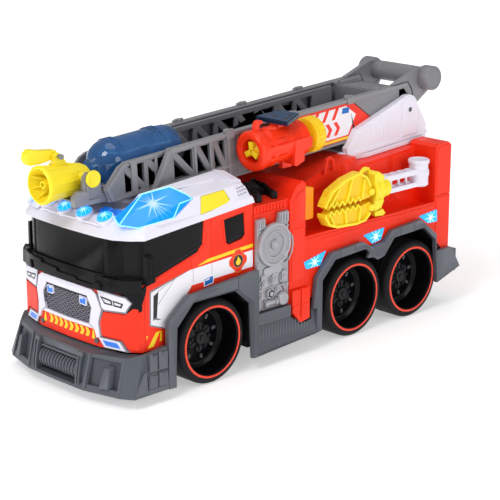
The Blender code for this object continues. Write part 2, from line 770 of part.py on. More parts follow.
def make_deck_fittings():
    """The forked clip behind the cab and the rest that steadies the rescue tool."""
    fork = [(0.0200, -0.0165), (0.0330, -0.0300), (0.0440, -0.0340), (0.0565, -0.0385), (0.0578, -0.0345)]
    fork += [(0.0470, -0.0275), (0.0410, -0.0215), (0.0435, -0.0180), (0.0556, -0.0225), (0.0575, -0.0190)]
    fork += [(0.0440, -0.0145), (0.0320, -0.0140)]
    prism("deck_clip", fork, (0.1173, 0.1225), "Z", "black_plastic")
    rest = [(0.0036, 0.0960), (0.0036, 0.1180), (0.0100, 0.1205), (0.0180, 0.1190), (0.0180, 0.0960)]
    prism("tool_rest", rest, (0.0434, 0.0570), "X", "yellow_plastic")


# ---- ladder -------------------------------------------------------------------------------
def ladder_frame():
    """From ladder coordinates (x, along to the rear, above the pin) to the vehicle's frame."""
    lean = Matrix.Rotation(LADDER_TILT, 4, "X")
    return Matrix.Translation((0, PIVOT_Y, PIVOT_Z)) @ lean


def windows(cells, low, high):
    """Right-angled truss openings: pairs of triangles between posts, cut right through."""
    cutters = []
    web = 0.0022
    for start, end in cells:
        first = [(start, low), (end - web * 1.5, low), (start, high - web * 1.5)]
        second = [(start + web * 1.5, high), (end, high), (end, low + web * 1.5)]
        cutters += [prism("opening", first, (-0.1, 0.1), "X"), prism("opening", second, (-0.1, 0.1), "X")]
    return cutters


def make_ladder_base():
    """The outer ladder: a channel, open at the top, with truss sides ahead of solid ones."""
    side = [
        (-0.2546, -0.0054),
        (-0.2390, LADDER_TOP),
        (0.0060, LADDER_TOP),
        (0.0110, 0.0120),
        (0.0115, 0.0),
        (0.0070, -0.0095),
        (0.0, -0.0112),
        (-0.0450, LADDER_BOTTOM),
        (-0.1850, LADDER_BOTTOM),
        (-0.1950, -0.0100),
        (-0.2100, -0.0054),
    ]
    base = prism("ladder_base", side, (-LADDER_X, LADDER_X), "X", "ladder_grey_plastic")
    wall = 0.0024
    cut(base, box("channel", (wall - LADDER_X, -0.3, -0.0110), (LADDER_X - wall, -0.0240, 0.03)))
    cells = ((-0.2350, -0.2180), (-0.2140, -0.2020), (-0.1980, -0.1880))
    cut(base, *windows(cells, -0.0030, LADDER_TOP - 0.0040))
    for i in range(5):
        front = -0.1800 + i * 0.030
        cut(base, box("floor_gap", (-0.0170, front, -0.05), (0.0170, front + 0.0220, -0.005)))
    return cut(base, rod("pin_hole", (0, 0, 0), 0.0025, 0.2, "X", None, 16))


def make_carry_handle():
    """A cross grip between two end rings, carried by arms that stand on the ladder's rails."""
    grip_y, grip_n = 0.0276, 0.0195
    handle = rod("carry_handle", (0, grip_y, grip_n), 0.0076, 0.058, "X", "ladder_grey_plastic")
    for sign in (1, -1):
        ring = rod("ring", (sign * 0.0298, grip_y, grip_n), 0.0096, 0.0130, "X")
        arm = [(-0.0110, LADDER_TOP + GAP), (0.0190, 0.0280), (grip_y, grip_n + 0.0070), (0.0340, 0.0130)]
        arm += [(0.0300, 0.0075), (0.0178, 0.0012), (0.0132, 0.0035), (0.0124, 0.0125), (0.0072, LADDER_TOP + GAP)]
        join(handle, ring, prism("arm", arm, sorted((sign * 0.0232, sign * LADDER_X)), "X"))
    return handle


def make_ladder_extension():
    """The sliding ladder: two truss rails on rungs, with the nozzle's bracket at its tip."""
    side = [
        (-0.2880, -0.0070),
        (-0.2914, 0.0027),
        (-0.2784, 0.0152),
        (-0.2724, 0.0175),
        (-0.0300, 0.0175),
        (-0.0300, -0.0070),
    ]
    slide = prism("ladder_extension", side, (-INNER_X, INNER_X), "X", "ladder_grey_plastic")
    wall = 0.0024
    cut(slide, box("channel", (wall - INNER_X, -0.3, -0.0045), (INNER_X - wall, 0.1, 0.03)))
    cells = [(-0.2740 + i * 0.0205, -0.2740 + i * 0.0205 + 0.0170) for i in range(11)]
    cut(slide, *windows(cells, -0.0038, 0.0140))
    for i in range(13):
        front = -0.2760 + i * 0.0185
        cut(slide, box("rung_gap", (-0.0165, front, -0.05), (0.0165, front + 0.0135, 0.0)))
    return slide


def make_nozzle_bracket():
    """Two ears on a foot that reaches ahead of the sliding ladder's tip."""
    ear = [(-0.1670, 0.1300), (-0.1670, 0.1375), (-0.1640, 0.1395), (-0.1595, 0.1395)]
    ear += [(-0.1585, 0.1490), (-0.1560, 0.1515), (-0.1485, 0.1515), (-0.1455, 0.1480)]
    ear += [(-0.1440, 0.1360), (-0.1300, 0.1330), (-0.1300, 0.1300)]
    bracket = prism("bracket", ear, (-0.0193, 0.0193), "X")
    cut(bracket, box("between", (-0.0165, -0.2, 0.1320), (0.0165, -0.1, 0.2)))
    cut(bracket, box("open_front", (-0.0165, -0.2, 0.1), (0.0165, -0.1500, 0.2)))
    return cut(bracket, rod("trunnion_hole", (0, NOZZLE_Y, NOZZLE_Z), 0.0026, 0.1, "X", None, 16))


def make_bottle():
    """A closed water bottle with a domed front and two raised bands, lying in the ladder."""
    radius = 0.0155
    length = 0.0740
    profile = [(0, length)]
    profile += [(radius * math.sin(a), length - 0.012 * (1 - math.cos(a)))
                for a in (math.radians(d) for d in (25, 45, 65))]
    profile += [(radius, length - 0.0120), (radius + 0.0008, length - 0.0140)]
    profile += [(radius + 0.0008, length - 0.0180), (radius, length - 0.0200)]
    profile += [(radius, 0.0140), (radius + 0.0008, 0.0120), (radius + 0.0008, 0.0080), (radius, 0.0060)]
    profile += [(radius - 0.0030, 0), (0, 0)]
    return turned("water_bottle", profile, "blue_bottle")


def make_nozzle():
    """A flared water nozzle that tilts on two trunnions with round caps."""
    profile = [
        (0.0108, 0.0287),
        (0.0130, 0.0287),
        (0.0132, 0.0262),
        (0.0115, 0.0150),
        (0.0102, 0.0080),
        (0.0098, -0.0050),
        (0.0085, -0.0088),
        (0, -0.0088),
        (0, 0.0100),
        (0.0035, 0.0120),
    ]
    nozzle = turned("water_nozzle", profile, "yellow_plastic")
    lower = Matrix.Translation((0, NOZZLE_Y, NOZZLE_Z - 0.0034))
    moved(nozzle, lower @ Matrix.Rotation(math.pi / 2, 4, "X"))
    pin = rod("trunnions", (0, NOZZLE_Y, NOZZLE_Z), 0.0022, 0.0420, "X", None, 12)
    join(nozzle, pin)
    for sign in (1, -1):
        join(nozzle, rod("cap", (sign * 0.0208, NOZZLE_Y, NOZZLE_Z), 0.0058, 0.0024, "X", None, 16))
    lug = [(LEVER_Y - 0.0035, 0.1500), (LEVER_Y - 0.0030, LEVER_Z + 0.0005), (LEVER_Y, LEVER_Z + 0.0025)]
    lug += [(LEVER_Y + 0.0030, LEVER_Z + 0.0005), (LEVER_Y + 0.0040, 0.1500)]
    join(nozzle, prism("lug", lug, (LEVER_X + 0.0024, LEVER_X + 0.0064), "X"))
    return nozzle


def make_pump_lever():
    """A finger grip that swings on the nozzle's lug and pumps the water."""
    side = [
        (LEVER_Y + 0.0035, LEVER_Z - 0.0010),
        (LEVER_Y + 0.0020, LEVER_Z + 0.0030),
        (-0.1750, 0.1655),
        (-0.1825, 0.1672),
        (-0.1858, 0.1645),
        (-0.1864, 0.1600),
        (-0.1840, 0.1565),
        (-0.1750, 0.1566),
        (LEVER_Y - 0.0020, LEVER_Z - 0.0032),
    ]
    return prism("pump_lever", side, (LEVER_X - 0.0050, LEVER_X + 0.0020), "X", "yellow_plastic")


def make_turntable():
    """The white ladder mount: a base plate with two cheeks that carry the lifting pin."""
    base = [(-0.0300, 0.0850), (-0.0180, 0.0790), (0.0180, 0.0790), (0.0300, 0.0850)]
    base += [(0.0345, 0.1000), (0.0345, 0.1640), (0.0300, 0.1690), (-0.0300, 0.1690)]
    base += [(-0.0345, 0.1640), (-0.0345, 0.1000)]
    slope = 0.0627
    low = [(x, y, 0.1229 + (y - 0.078) * slope) for x, y in base]
    high = [(x, y, 0.1262 + (y - 0.078) * slope) for x, y in base]
    mount = loft("turntable", [low, high], "white_plastic")
    cheek = [(0.0810, 0.1250), (0.0790, 0.1333), (0.0845, 0.1393), (0.0894, 0.1462)]
    centre = Vector((PIVOT_Y + 0.0010, PIVOT_Z))
    arc = [centre + 0.0112 * Vector((math.sin(a), math.cos(a)))
           for a in (math.radians(d) for d in range(-35, 76, 22))]
    cheek += [tuple(point) for point in arc]
    cheek += [(0.1640, 0.1498), (0.1700, 0.1400), (0.1700, 0.1290)]
    for sign in (1, -1):
        edges = sorted((sign * (LADDER_X + GAP), sign * 0.0322))
        join(mount, prism("cheek", cheek, edges, "X"))
    cut(mount, rod("pin_hole", (0, PIVOT_Y, PIVOT_Z), 0.0025, 0.2, "X", None, 16))
    return mount


def make_ladder():
    turn = pivot("turntable_turn", (0, 0.1280, 0.1260))
    hang(make_turntable(), turn)
    lift = pivot("ladder_lift", (0, PIVOT_Y, PIVOT_Z), turn)
    pin = rod("ladder_pin", (0, PIVOT_Y, PIVOT_Z), 0.0020, 0.0660, "X", "steel", 12)
    hang(pin, turn)
    for piece in (make_ladder_base(), make_carry_handle()):
        hang(moved(piece, ladder_frame()), lift)
    extend = pivot("ladder_extend", (0, PIVOT_Y, PIVOT_Z), lift)
    extension = moved(make_ladder_extension(), ladder_frame())
    hang(join(extension, make_nozzle_bracket()), extend)
    bottle = make_bottle()
    seat = Matrix.Translation((0, -0.2135, 0.0135)) @ Matrix.Rotation(math.pi / 2, 4, "X")
    hang(moved(bottle, ladder_frame() @ seat), extend)
    tilt = pivot("nozzle_tilt", (0, NOZZLE_Y, NOZZLE_Z), extend)
    hang(make_nozzle(), tilt)
    hang(make_pump_lever(), pivot("pump_lever_swing", (LEVER_X, LEVER_Y, LEVER_Z), tilt))
    return lift


# ---- dart launcher ------------------------------------------------------------------------
def barrel_frame():
    """Along the barrel from its muzzle: local Z points forward, out of the muzzle."""
    lean = Matrix.Rotation(LADDER_TILT, 4, "X")
    place = Matrix.Translation((LAUNCHER_X, LAUNCHER_Y, LAUNCHER_Z))
    return place @ lean @ Matrix.Rotation(math.pi / 2, 4, "X")


def make_launcher(lift):
    bore = 0.0085
    radius = LAUNCHER_RADIUS
    profile = [
        (bore, 0),
        (radius, 0),
        (radius + 0.0004, -0.0040),
        (radius, -0.0120),
        (radius - 0.0012, -0.0130),
        (radius - 0.0012, -0.0485),
        (0.0060, -0.0485),
        (0.0060, -0.0405),
        (bore, -0.0405),
    ]
    body = moved(turned("launcher_body", profile, "orange_plastic"), barrel_frame())
    foot = [(-0.0010, 0.1335), (-0.0010, 0.1430), (0.0110, 0.1440), (0.0110, 0.1400), (0.0080, 0.1335)]
    join(body, prism("foot", foot, (0.0400, 0.0530), "X"))
    clamp = [(-0.0150, 0.1450), (-0.0150, 0.1550), (0.0140, 0.1570), (0.0140, 0.1470)]
    join(body, prism("clamp", clamp, (LADDER_X + GAP, 0.0345), "X"))
    post = [(-0.0080, 0.1600), (-0.0080, 0.1668), (0.0060, 0.1691), (0.0060, 0.1600)]
    join(body, prism("sight_post", post, (0.0385, 0.0465), "X"))
    hang(body, lift)
    plunger = [(0, -0.0445), (0.0055, -0.0445), (0.0055, -0.0545), (0.0128, -0.0545)]
    plunger += [(0.0130, -0.0645), (0.0110, -0.0660), (0, -0.0660)]
    knob = moved(turned("launcher_plunger", plunger, "yellow_plastic"), barrel_frame())
    hang(knob, pivot("plunger_push", barrel_frame() @ Vector((0, 0, -0.0595)), lift))
    dart = [(0, -0.0010), (0.0045, -0.0020), (0.0072, -0.0060), (0.0072, -0.0140), (0.0050, -0.0160)]
    dart += [(0.0050, -0.0385), (0, -0.0385)]
    missile = moved(turned("dart", dart, "yellow_plastic", 12), barrel_frame())
    hang(missile, pivot("dart_slide", barrel_frame() @ Vector((0, 0, -0.02)), lift))
    front = [(0.0265, -0.0105), (0.0585, -0.0105)]
    rear = [(0.0517, 0.0078), (0.0333, 0.0078)]
    faces = [
        [(x, y, 0.1702 - sink) for x, y in front] + [(x, y, 0.1732 - sink) for x, y in rear]
        for sink in (0.0034, 0.0)
    ]
    hang(loft("launcher_sight", faces, "navy_plastic"), lift)


# ---- rescue tool --------------------------------------------------------------------------
def teeth(start, end, height, rise, count):
    """A zigzag edge of small teeth along Y."""
    step = (end - start) / count
    points = []
    for i in range(count):
        points += [(start + i * step, height), (start + (i + 0.5) * step, height + rise)]
    return points + [(end, height)]


def jaw(name, z, sign):
    """One jaw plate with a toothed edge; sign is 1 for the upper jaw and -1 for the lower."""
    line = 0.1021
    edge = teeth(0.0230, 0.0600, line + sign * 0.0006, sign * 0.0022, 8)
    back = [(JAW_Y + 0.0042 * math.cos(a), z + sign * 0.0042 * math.sin(a))
            for a in (math.radians(d) for d in (-90, -45, 0, 45, 90))]
    if sign > 0:
        crown = [(0.0650, 0.1205), (0.0570, 0.1250), (0.0420, 0.1222), (0.0270, 0.1155), (0.0205, 0.1065)]
    else:
        crown = [(0.0640, 0.0870), (0.0540, 0.0858), (0.0330, 0.0872), (0.0240, 0.0905), (0.0200, 0.0970)]
    outline = edge + back + crown
    return prism(name, outline, JAW_X, "X", "yellow_plastic")


def make_rescue_tool():
    swing = pivot("tool_swing", (ARM_X, ARM_Y, 0.1100))
    arm = turned(
        "tool_arm",
        [(0.0052, 0.1205), (0.0078, 0.1212), (0.0082, 0.1150), (0.0078, 0.1005), (0.0022, 0.1005),
         (0.0022, 0.1060), (0.0052, 0.1080)],
        "white_plastic",
    )
    moved(arm, Matrix.Translation((ARM_X, ARM_Y, 0)))
    for low, high in ((0.1010, 0.1045), (0.1105, 0.1140)):
        join(arm, box("beam", (ARM_X - 0.0045, 0.0860, low), (ARM_X + 0.0045, ARM_Y - 0.0055, high)))
    for i in range(4):
        y = 0.0940 + i * 0.0095
        join(arm, rod("post", (ARM_X, y, 0.1075), 0.0028, 0.0110, "Z", None, 8))
    hang(arm, swing)
    head = [(0.0748, 0.0915), (0.0748, 0.1190), (0.0800, 0.1215), (0.0857, 0.1170), (0.0857, 0.0990)]
    head += [(0.0830, 0.0935)]
    shape = prism("tool_head", head, (ARM_X - 0.0060, 0.0665), "X", "yellow_plastic")
    hang(shape, swing)
    hang(jaw("lower_jaw", LOWER_JAW_Z, -1), swing)
    upper = pivot("upper_jaw_open", (0.0620, JAW_Y, UPPER_JAW_Z), swing)
    hang(jaw("upper_jaw", UPPER_JAW_Z, 1), upper)
    lever = [(0.0780, 0.0905), (0.0868, 0.0918), (0.0900, 0.0880), (0.0875, 0.0862), (0.0780, 0.0872)]
    trigger = prism("tool_trigger", lever, (0.0585, 0.0625), "X", "yellow_plastic")
    hang(trigger, pivot("trigger_pull", (0.0605, TRIGGER_Y, 0.0890), swing))


# ---- build --------------------------------------------------------------------------------
clear_scene()
PARTS = parts_collection()
make_wheels()
make_chassis()
make_electrics()
make_front_bumper()
make_skirts()
make_cab()
make_roof()
make_button()
make_rear_body()
make_pump_panels()
make_deck_fittings()
make_launcher(make_ladder())
make_rescue_tool()
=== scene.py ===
"""Looks of the toy fire engine: moulded detail, printed graphics, lamps and studio.

Shapes are written in millimetres in the part's own frame: -Y is the nose, +X the left side, +Z up.
"""

import math

import bmesh
import bpy
from mathutils import Matrix, Vector


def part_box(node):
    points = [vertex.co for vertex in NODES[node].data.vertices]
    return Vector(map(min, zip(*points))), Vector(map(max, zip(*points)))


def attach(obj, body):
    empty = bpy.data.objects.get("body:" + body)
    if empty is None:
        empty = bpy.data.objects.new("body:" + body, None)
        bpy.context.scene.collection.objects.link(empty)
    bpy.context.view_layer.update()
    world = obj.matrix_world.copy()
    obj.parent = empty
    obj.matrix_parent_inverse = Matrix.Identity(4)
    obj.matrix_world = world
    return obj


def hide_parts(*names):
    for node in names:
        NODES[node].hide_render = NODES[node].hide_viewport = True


MM = 0.001
FLOOR_RADIUS = 9000
WORLD_STRENGTH = 0.36
WELD = 2e-6  # metres within which a CAD node's points are one
LADDER_LEAN = math.atan(0.0625)  # the stowed ladder dips towards the nose
AXLES = {"front": -86.7, "middle": 55.5, "rear": 120.6}
AXLE_HEIGHT = 30
NOSE_REACH = (-190, -147.2)  # the y range in which front reliefs lie
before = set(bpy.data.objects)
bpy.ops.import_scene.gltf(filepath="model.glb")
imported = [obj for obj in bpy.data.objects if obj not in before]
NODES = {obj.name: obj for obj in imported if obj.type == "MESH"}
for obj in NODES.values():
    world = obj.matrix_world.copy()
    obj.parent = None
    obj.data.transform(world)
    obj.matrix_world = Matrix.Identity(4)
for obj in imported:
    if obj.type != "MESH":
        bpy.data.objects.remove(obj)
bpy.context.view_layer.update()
SCENE = bpy.context.scene
SCENE.view_settings.view_transform = "Standard"

AXES = {  # columns: where an outline's two coordinates and its extrusion point
    "X": Matrix(((0, 0, 1), (1, 0, 0), (0, 1, 0))),
    "Y": Matrix(((1, 0, 0), (0, 0, 1), (0, 1, 0))),
    "Z": Matrix.Identity(3),
}


# ---- geometry helpers -----------------------------------------------------------------------
def put(bm, name):
    """A mesh object in metres from a bmesh in millimetres."""
    bmesh.ops.scale(bm, vec=(MM, MM, MM), verts=bm.verts)
    bmesh.ops.recalc_face_normals(bm, faces=bm.faces)
    mesh = bpy.data.meshes.new(name)
    bm.to_mesh(mesh)
    bm.free()
    return link(mesh, name)


def link(mesh, name):
    obj = bpy.data.objects.new(name, mesh)
    SCENE.collection.objects.link(obj)
    return obj


def box(low, high, name="box"):
    bm = bmesh.new()
    bmesh.ops.create_cube(bm, size=1)
    bmesh.ops.scale(bm, vec=[high[i] - low[i] for i in range(3)], verts=bm.verts)
    bmesh.ops.translate(bm, vec=[(high[i] + low[i]) / 2 for i in range(3)], verts=bm.verts)
    return put(bm, name)


def prism(outline, span, axis, name="prism"):
    """A flat outline extruded along an axis: (y, z) along X, (x, z) along Y, (x, y) along Z."""
    bm = bmesh.new()
    turn = AXES[axis]
    rings = []
    for end in span:
        rings.append([bm.verts.new(turn @ Vector((u, v, end))) for u, v in outline])
    count = len(outline)
    for i in range(count):
        j = (i + 1) % count
        bm.faces.new((rings[0][i], rings[0][j], rings[1][j], rings[1][i]))
    bm.faces.new(rings[0])
    bm.faces.new(rings[1])
    return put(bm, name)


def loft(loops, name="loft", closed=True):
    bm = bmesh.new()
    rings = [[bm.verts.new(p) for p in loop] for loop in loops]
    count = len(rings[0])
    for low, high in zip(rings, rings[1:]):
        for i in range(count):
            j = (i + 1) % count
            bm.faces.new((low[i], low[j], high[j], high[i]))
    if closed:
        caps = [bm.faces.new(rings[0]), bm.faces.new(rings[-1])]
        bmesh.ops.triangulate(bm, faces=caps)
    return put(bm, name)


def hull(points, name="hull"):
    bm = bmesh.new()
    for p in points:
        bm.verts.new(p)
    made = bmesh.ops.convex_hull(bm, input=bm.verts)
    loose = [v for v in made["geom_interior"] if isinstance(v, bmesh.types.BMVert)]
    bmesh.ops.delete(bm, geom=loose, context="VERTS")
    bmesh.ops.dissolve_limit(bm, angle_limit=0.01, verts=bm.verts, edges=bm.edges)
    return put(bm, name)


def place(axis, centre):
    """Matrix from a lathe's own frame, which turns about Z, to a point and direction in mm."""
    if isinstance(axis, str):
        axis = {"X": (1, 0, 0), "Y": (0, 1, 0), "Z": (0, 0, 1)}[axis]
    turn = Vector(axis).to_track_quat("Z", "Y").to_matrix().to_4x4()
    return Matrix.Translation(Vector(centre)) @ turn


def lathe(profile, axis="Z", centre=(0, 0, 0), steps=48, name="lathe", wave=None):
    """A closed (radius, height) profile turned about an axis; wave changes each point's radius."""
    bm = bmesh.new()
    rings = []
    for i in range(steps):
        a = 2 * math.pi * i / steps
        ring = []
        for k, (r, h) in enumerate(profile):
            r2 = r + (wave(i, k) if wave else 0)
            ring.append(bm.verts.new((r2 * math.cos(a), r2 * math.sin(a), h)))
        rings.append(ring)
    count = len(profile)
    for i in range(steps):
        one, two = rings[i], rings[(i + 1) % steps]
        for k in range(count):
            n = (k + 1) % count
            bm.faces.new((one[k], two[k], two[n], one[n]))
    bmesh.ops.remove_doubles(bm, verts=bm.verts, dist=0.0005)
    bmesh.ops.dissolve_degenerate(bm, edges=bm.edges, dist=0.0004)
    bmesh.ops.transform(bm, matrix=place(axis, centre), verts=bm.verts)
    return put(bm, name)


def rod(centre, radius, length, axis="X", steps=32, name="rod", top=None):
    """A cylinder or cone centred on a point."""
    top = radius if top is None else top
    bm = bmesh.new()
    bmesh.ops.create_cone(bm, cap_ends=True, segments=steps, radius1=radius, radius2=top, depth=length)
    bmesh.ops.transform(bm, matrix=place(axis, centre), verts=bm.verts)
    return put(bm, name)


def tube(points, radius, name="tube", sides=10):
    """A round rod along a smooth path."""
    curve = bpy.data.curves.new(name, "CURVE")
    curve.dimensions = "3D"
    curve.bevel_depth = radius * MM
    curve.bevel_resolution = max(sides // 4, 1)
    curve.use_fill_caps = True
    spline = curve.splines.new("POLY")
    spline.points.add(len(points) - 1)
    for point, co in zip(spline.points, points):
        point.co = (*[c * MM for c in co], 1)
    guide = bpy.data.objects.new(name, curve)
    SCENE.collection.objects.link(guide)
    mesh = evaluated(guide)
    bpy.data.objects.remove(guide, do_unlink=True)
    bm = bmesh.new()
    bm.from_mesh(mesh)
    bmesh.ops.remove_doubles(bm, verts=bm.verts, dist=1e-6)
    bmesh.ops.recalc_face_normals(bm, faces=bm.faces)
    bm.to_mesh(mesh)
    bm.free()
    return link(mesh, name)


def evaluated(obj):
    bpy.context.view_layer.update()
    graph = bpy.context.evaluated_depsgraph_get()
    return bpy.data.meshes.new_from_object(obj.evaluated_get(graph))


def combine(obj, other, operation):
    modifier = obj.modifiers.new(operation, "BOOLEAN")
    modifier.operation = operation
    modifier.object = other
    mesh = evaluated(obj)
    obj.modifiers.clear()
    obj.data = mesh
    bpy.data.objects.remove(other, do_unlink=True)
    return obj


def cut(obj, *others):
    for other in others:
        combine(obj, other, "DIFFERENCE")
    return obj


def common(obj, other):
    return combine(obj, other, "INTERSECT")


def gather(objects, name):
    """Several solids as one piece, not merged where they touch."""
    bm = bmesh.new()
    for obj in objects:
        bm.from_mesh(obj.data)
        bpy.data.objects.remove(obj, do_unlink=True)
    mesh = bpy.data.meshes.new(name)
    bm.to_mesh(mesh)
    bm.free()
    return link(mesh, name)


def clone(obj, matrix, name=None):
    """A copy moved by a matrix in millimetres."""
    mesh = obj.data.copy()
    scaled = matrix.copy()
    scaled.translation = matrix.translation * MM
    mesh.transform(scaled)
    if matrix.determinant() < 0:
        mesh.flip_normals()
    return link(mesh, name or obj.name)


def shift(obj, matrix):
    """The solid itself moved by a matrix in millimetres."""
    moved = clone(obj, matrix)
    bpy.data.objects.remove(obj, do_unlink=True)
    return moved


def flipped(obj, name=None):
    return clone(obj, Matrix.Scale(-1, 4, (1, 0, 0)), name)


def both(obj):
    """The solid, or a list of solids, and its mirror image, as one piece."""
    if isinstance(obj, list):
        obj = gather(obj, "half")
    return gather([obj, flipped(obj)], obj.name)


def mirrored(sign, points):
    """Points given for the left side, on the left (sign 1) or on the right (-1)."""
    return [(sign * x, *rest) for x, *rest in points]


def span(sign, near, far):
    """The extent in x between two distances from the middle plane, in rising order."""
    return sorted((sign * near, sign * far))


def cad_copy(node, name):
    """A CAD node's shape as a new mesh with its flat faces whole, ready to be carved."""
    bm = bmesh.new()
    bm.from_mesh(NODES[node].data)
    bmesh.ops.remove_doubles(bm, verts=bm.verts, dist=WELD)
    bmesh.ops.dissolve_limit(
        bm, angle_limit=math.radians(0.4), verts=bm.verts, edges=bm.edges
    )
    bmesh.ops.recalc_face_normals(bm, faces=bm.faces)
    mesh = bpy.data.meshes.new(name)
    bm.to_mesh(mesh)
    bm.free()
    mesh.materials.clear()
    return link(mesh, name)


def show(obj, name, material, body="body", stands_for=(), bevel=0, segments=2, angle=32):
    """Finishes a solid, or a list as one piece: edges, shading, material and its body."""
    if isinstance(obj, list):
        obj = gather(obj, name)
    obj.name = name
    obj.data.name = name
    obj.data.materials.clear()
    obj.data.materials.append(material)
    bm = bmesh.new()
    bm.from_mesh(obj.data)
    bmesh.ops.dissolve_degenerate(bm, edges=bm.edges, dist=1e-6)
    bm.to_mesh(obj.data)
    bm.free()
    obj.data.shade_smooth()
    if bevel:
        rounding = obj.modifiers.new("Rounded edges", "BEVEL")
        rounding.width = bevel * MM
        rounding.segments = segments
        rounding.limit_method = "ANGLE"
        rounding.angle_limit = math.radians(angle)
        rounding.miter_outer = "MITER_ARC"
        rounding.harden_normals = True
    obj.data.set_sharp_from_angle(angle=math.radians(angle))
    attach(obj, body)
    if stands_for:
        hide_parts(*([stands_for] if isinstance(stands_for, str) else stands_for))
    return obj


def new_material(name):
    material = bpy.data.materials.new(name)
    material.use_nodes = True
    tree = material.node_tree
    return material, tree, tree.nodes["Principled BSDF"]


def node(tree, kind, **inputs):
    made = tree.nodes.new(kind)
    for key, value in inputs.items():
        if key in ("operation", "blend_type", "data_type", "noise_dimensions", "feature", "distance"):
            setattr(made, key, value)
        else:
            made.inputs[key.replace("_", " ")].default_value = value
    return made


def noise(tree, coords, scale, detail=3, rough=0.5):
    made = tree.nodes.new("ShaderNodeTexNoise")
    made.inputs["Scale"].default_value = scale
    made.inputs["Detail"].default_value = detail
    made.inputs["Roughness"].default_value = rough
    tree.links.new(coords, made.inputs["Vector"])
    return made.outputs["Fac"]


def ramp(tree, value, stops):
    made = tree.nodes.new("ShaderNodeValToRGB")
    elements = made.color_ramp.elements
    while len(elements) < len(stops):
        elements.new(0.5)
    for element, (position, colour) in zip(elements, stops):
        element.position = position
        element.color = (*colour, 1)
    tree.links.new(value, made.inputs["Fac"])
    return made.outputs["Color"]


def spread(tree, value, low, high, to_low, to_high):
    made = tree.nodes.new("ShaderNodeMapRange")
    for key, number in zip(("From Min", "From Max", "To Min", "To Max"), (low, high, to_low, to_high)):
        made.inputs[key].default_value = number
    tree.links.new(value, made.inputs["Value"])
    return made.outputs["Result"]


def plastic(name, slot, colour, rough=0.35, vary=0.06, grain=0.05, metallic=0, coat=0, speck=None,
            edge_highlight=0.25, shine=0.3):
    """Moulded plastic: faint cloudiness, uneven gloss, fine texture, and convex edges lifted paler,
    which is a painted highlight.
    """
    material, tree, shader = new_material(name)
    coords = tree.nodes.new("ShaderNodeTexCoord").outputs["Object"]
    cloud = noise(tree, coords, 28, 4)
    dark = tuple(c * (1 - vary) for c in colour)
    light = tuple(min(c * (1 + vary * 0.6), 1) for c in colour)
    tint = ramp(tree, cloud, [(0.3, dark), (0.7, light)])
    if speck:
        flakes = noise(tree, coords, 2400, 1)
        mixed = tree.nodes.new("ShaderNodeMixRGB")
        mixed.inputs["Color2"].default_value = (*speck, 1)
        tree.links.new(spread(tree, flakes, 0.55, 0.75, 0, 0.6), mixed.inputs["Fac"])
        tree.links.new(tint, mixed.inputs["Color1"])
        tint = mixed.outputs["Color"]
    # Convex edges, picked out by pointiness, are mixed towards a paler colour: a painted highlight
    # along the edges.
    edge = tree.nodes.new("ShaderNodeNewGeometry").outputs["Pointiness"]
    edge_highlight_mix = tree.nodes.new("ShaderNodeMixRGB")
    edge_highlight_mix.inputs["Color2"].default_value = (*[min(c * 1.35 + 0.04, 1) for c in colour], 1)
    tree.links.new(spread(tree, edge, 0.52, 0.6, 0, edge_highlight), edge_highlight_mix.inputs["Fac"])
    tree.links.new(tint, edge_highlight_mix.inputs["Color1"])
    tree.links.new(edge_highlight_mix.outputs["Color"], shader.inputs["Base Color"])
    gloss = noise(tree, coords, 65, 5, 0.6)
    tree.links.new(spread(tree, gloss, 0.3, 0.7, rough - 0.05, rough + 0.07),
                   shader.inputs["Roughness"])
    bump = tree.nodes.new("ShaderNodeBump")
    bump.inputs["Strength"].default_value = grain
    bump.inputs["Distance"].default_value = 0.0002
    tree.links.new(noise(tree, coords, 1500, 2), bump.inputs["Height"])
    tree.links.new(bump.outputs["Normal"], shader.inputs["Normal"])
    shader.inputs["Metallic"].default_value = metallic
    shader.inputs["Specular IOR Level"].default_value = shine
    shader.inputs["Coat Weight"].default_value = coat
    shader.inputs["Coat Roughness"].default_value = 0.12
    return material


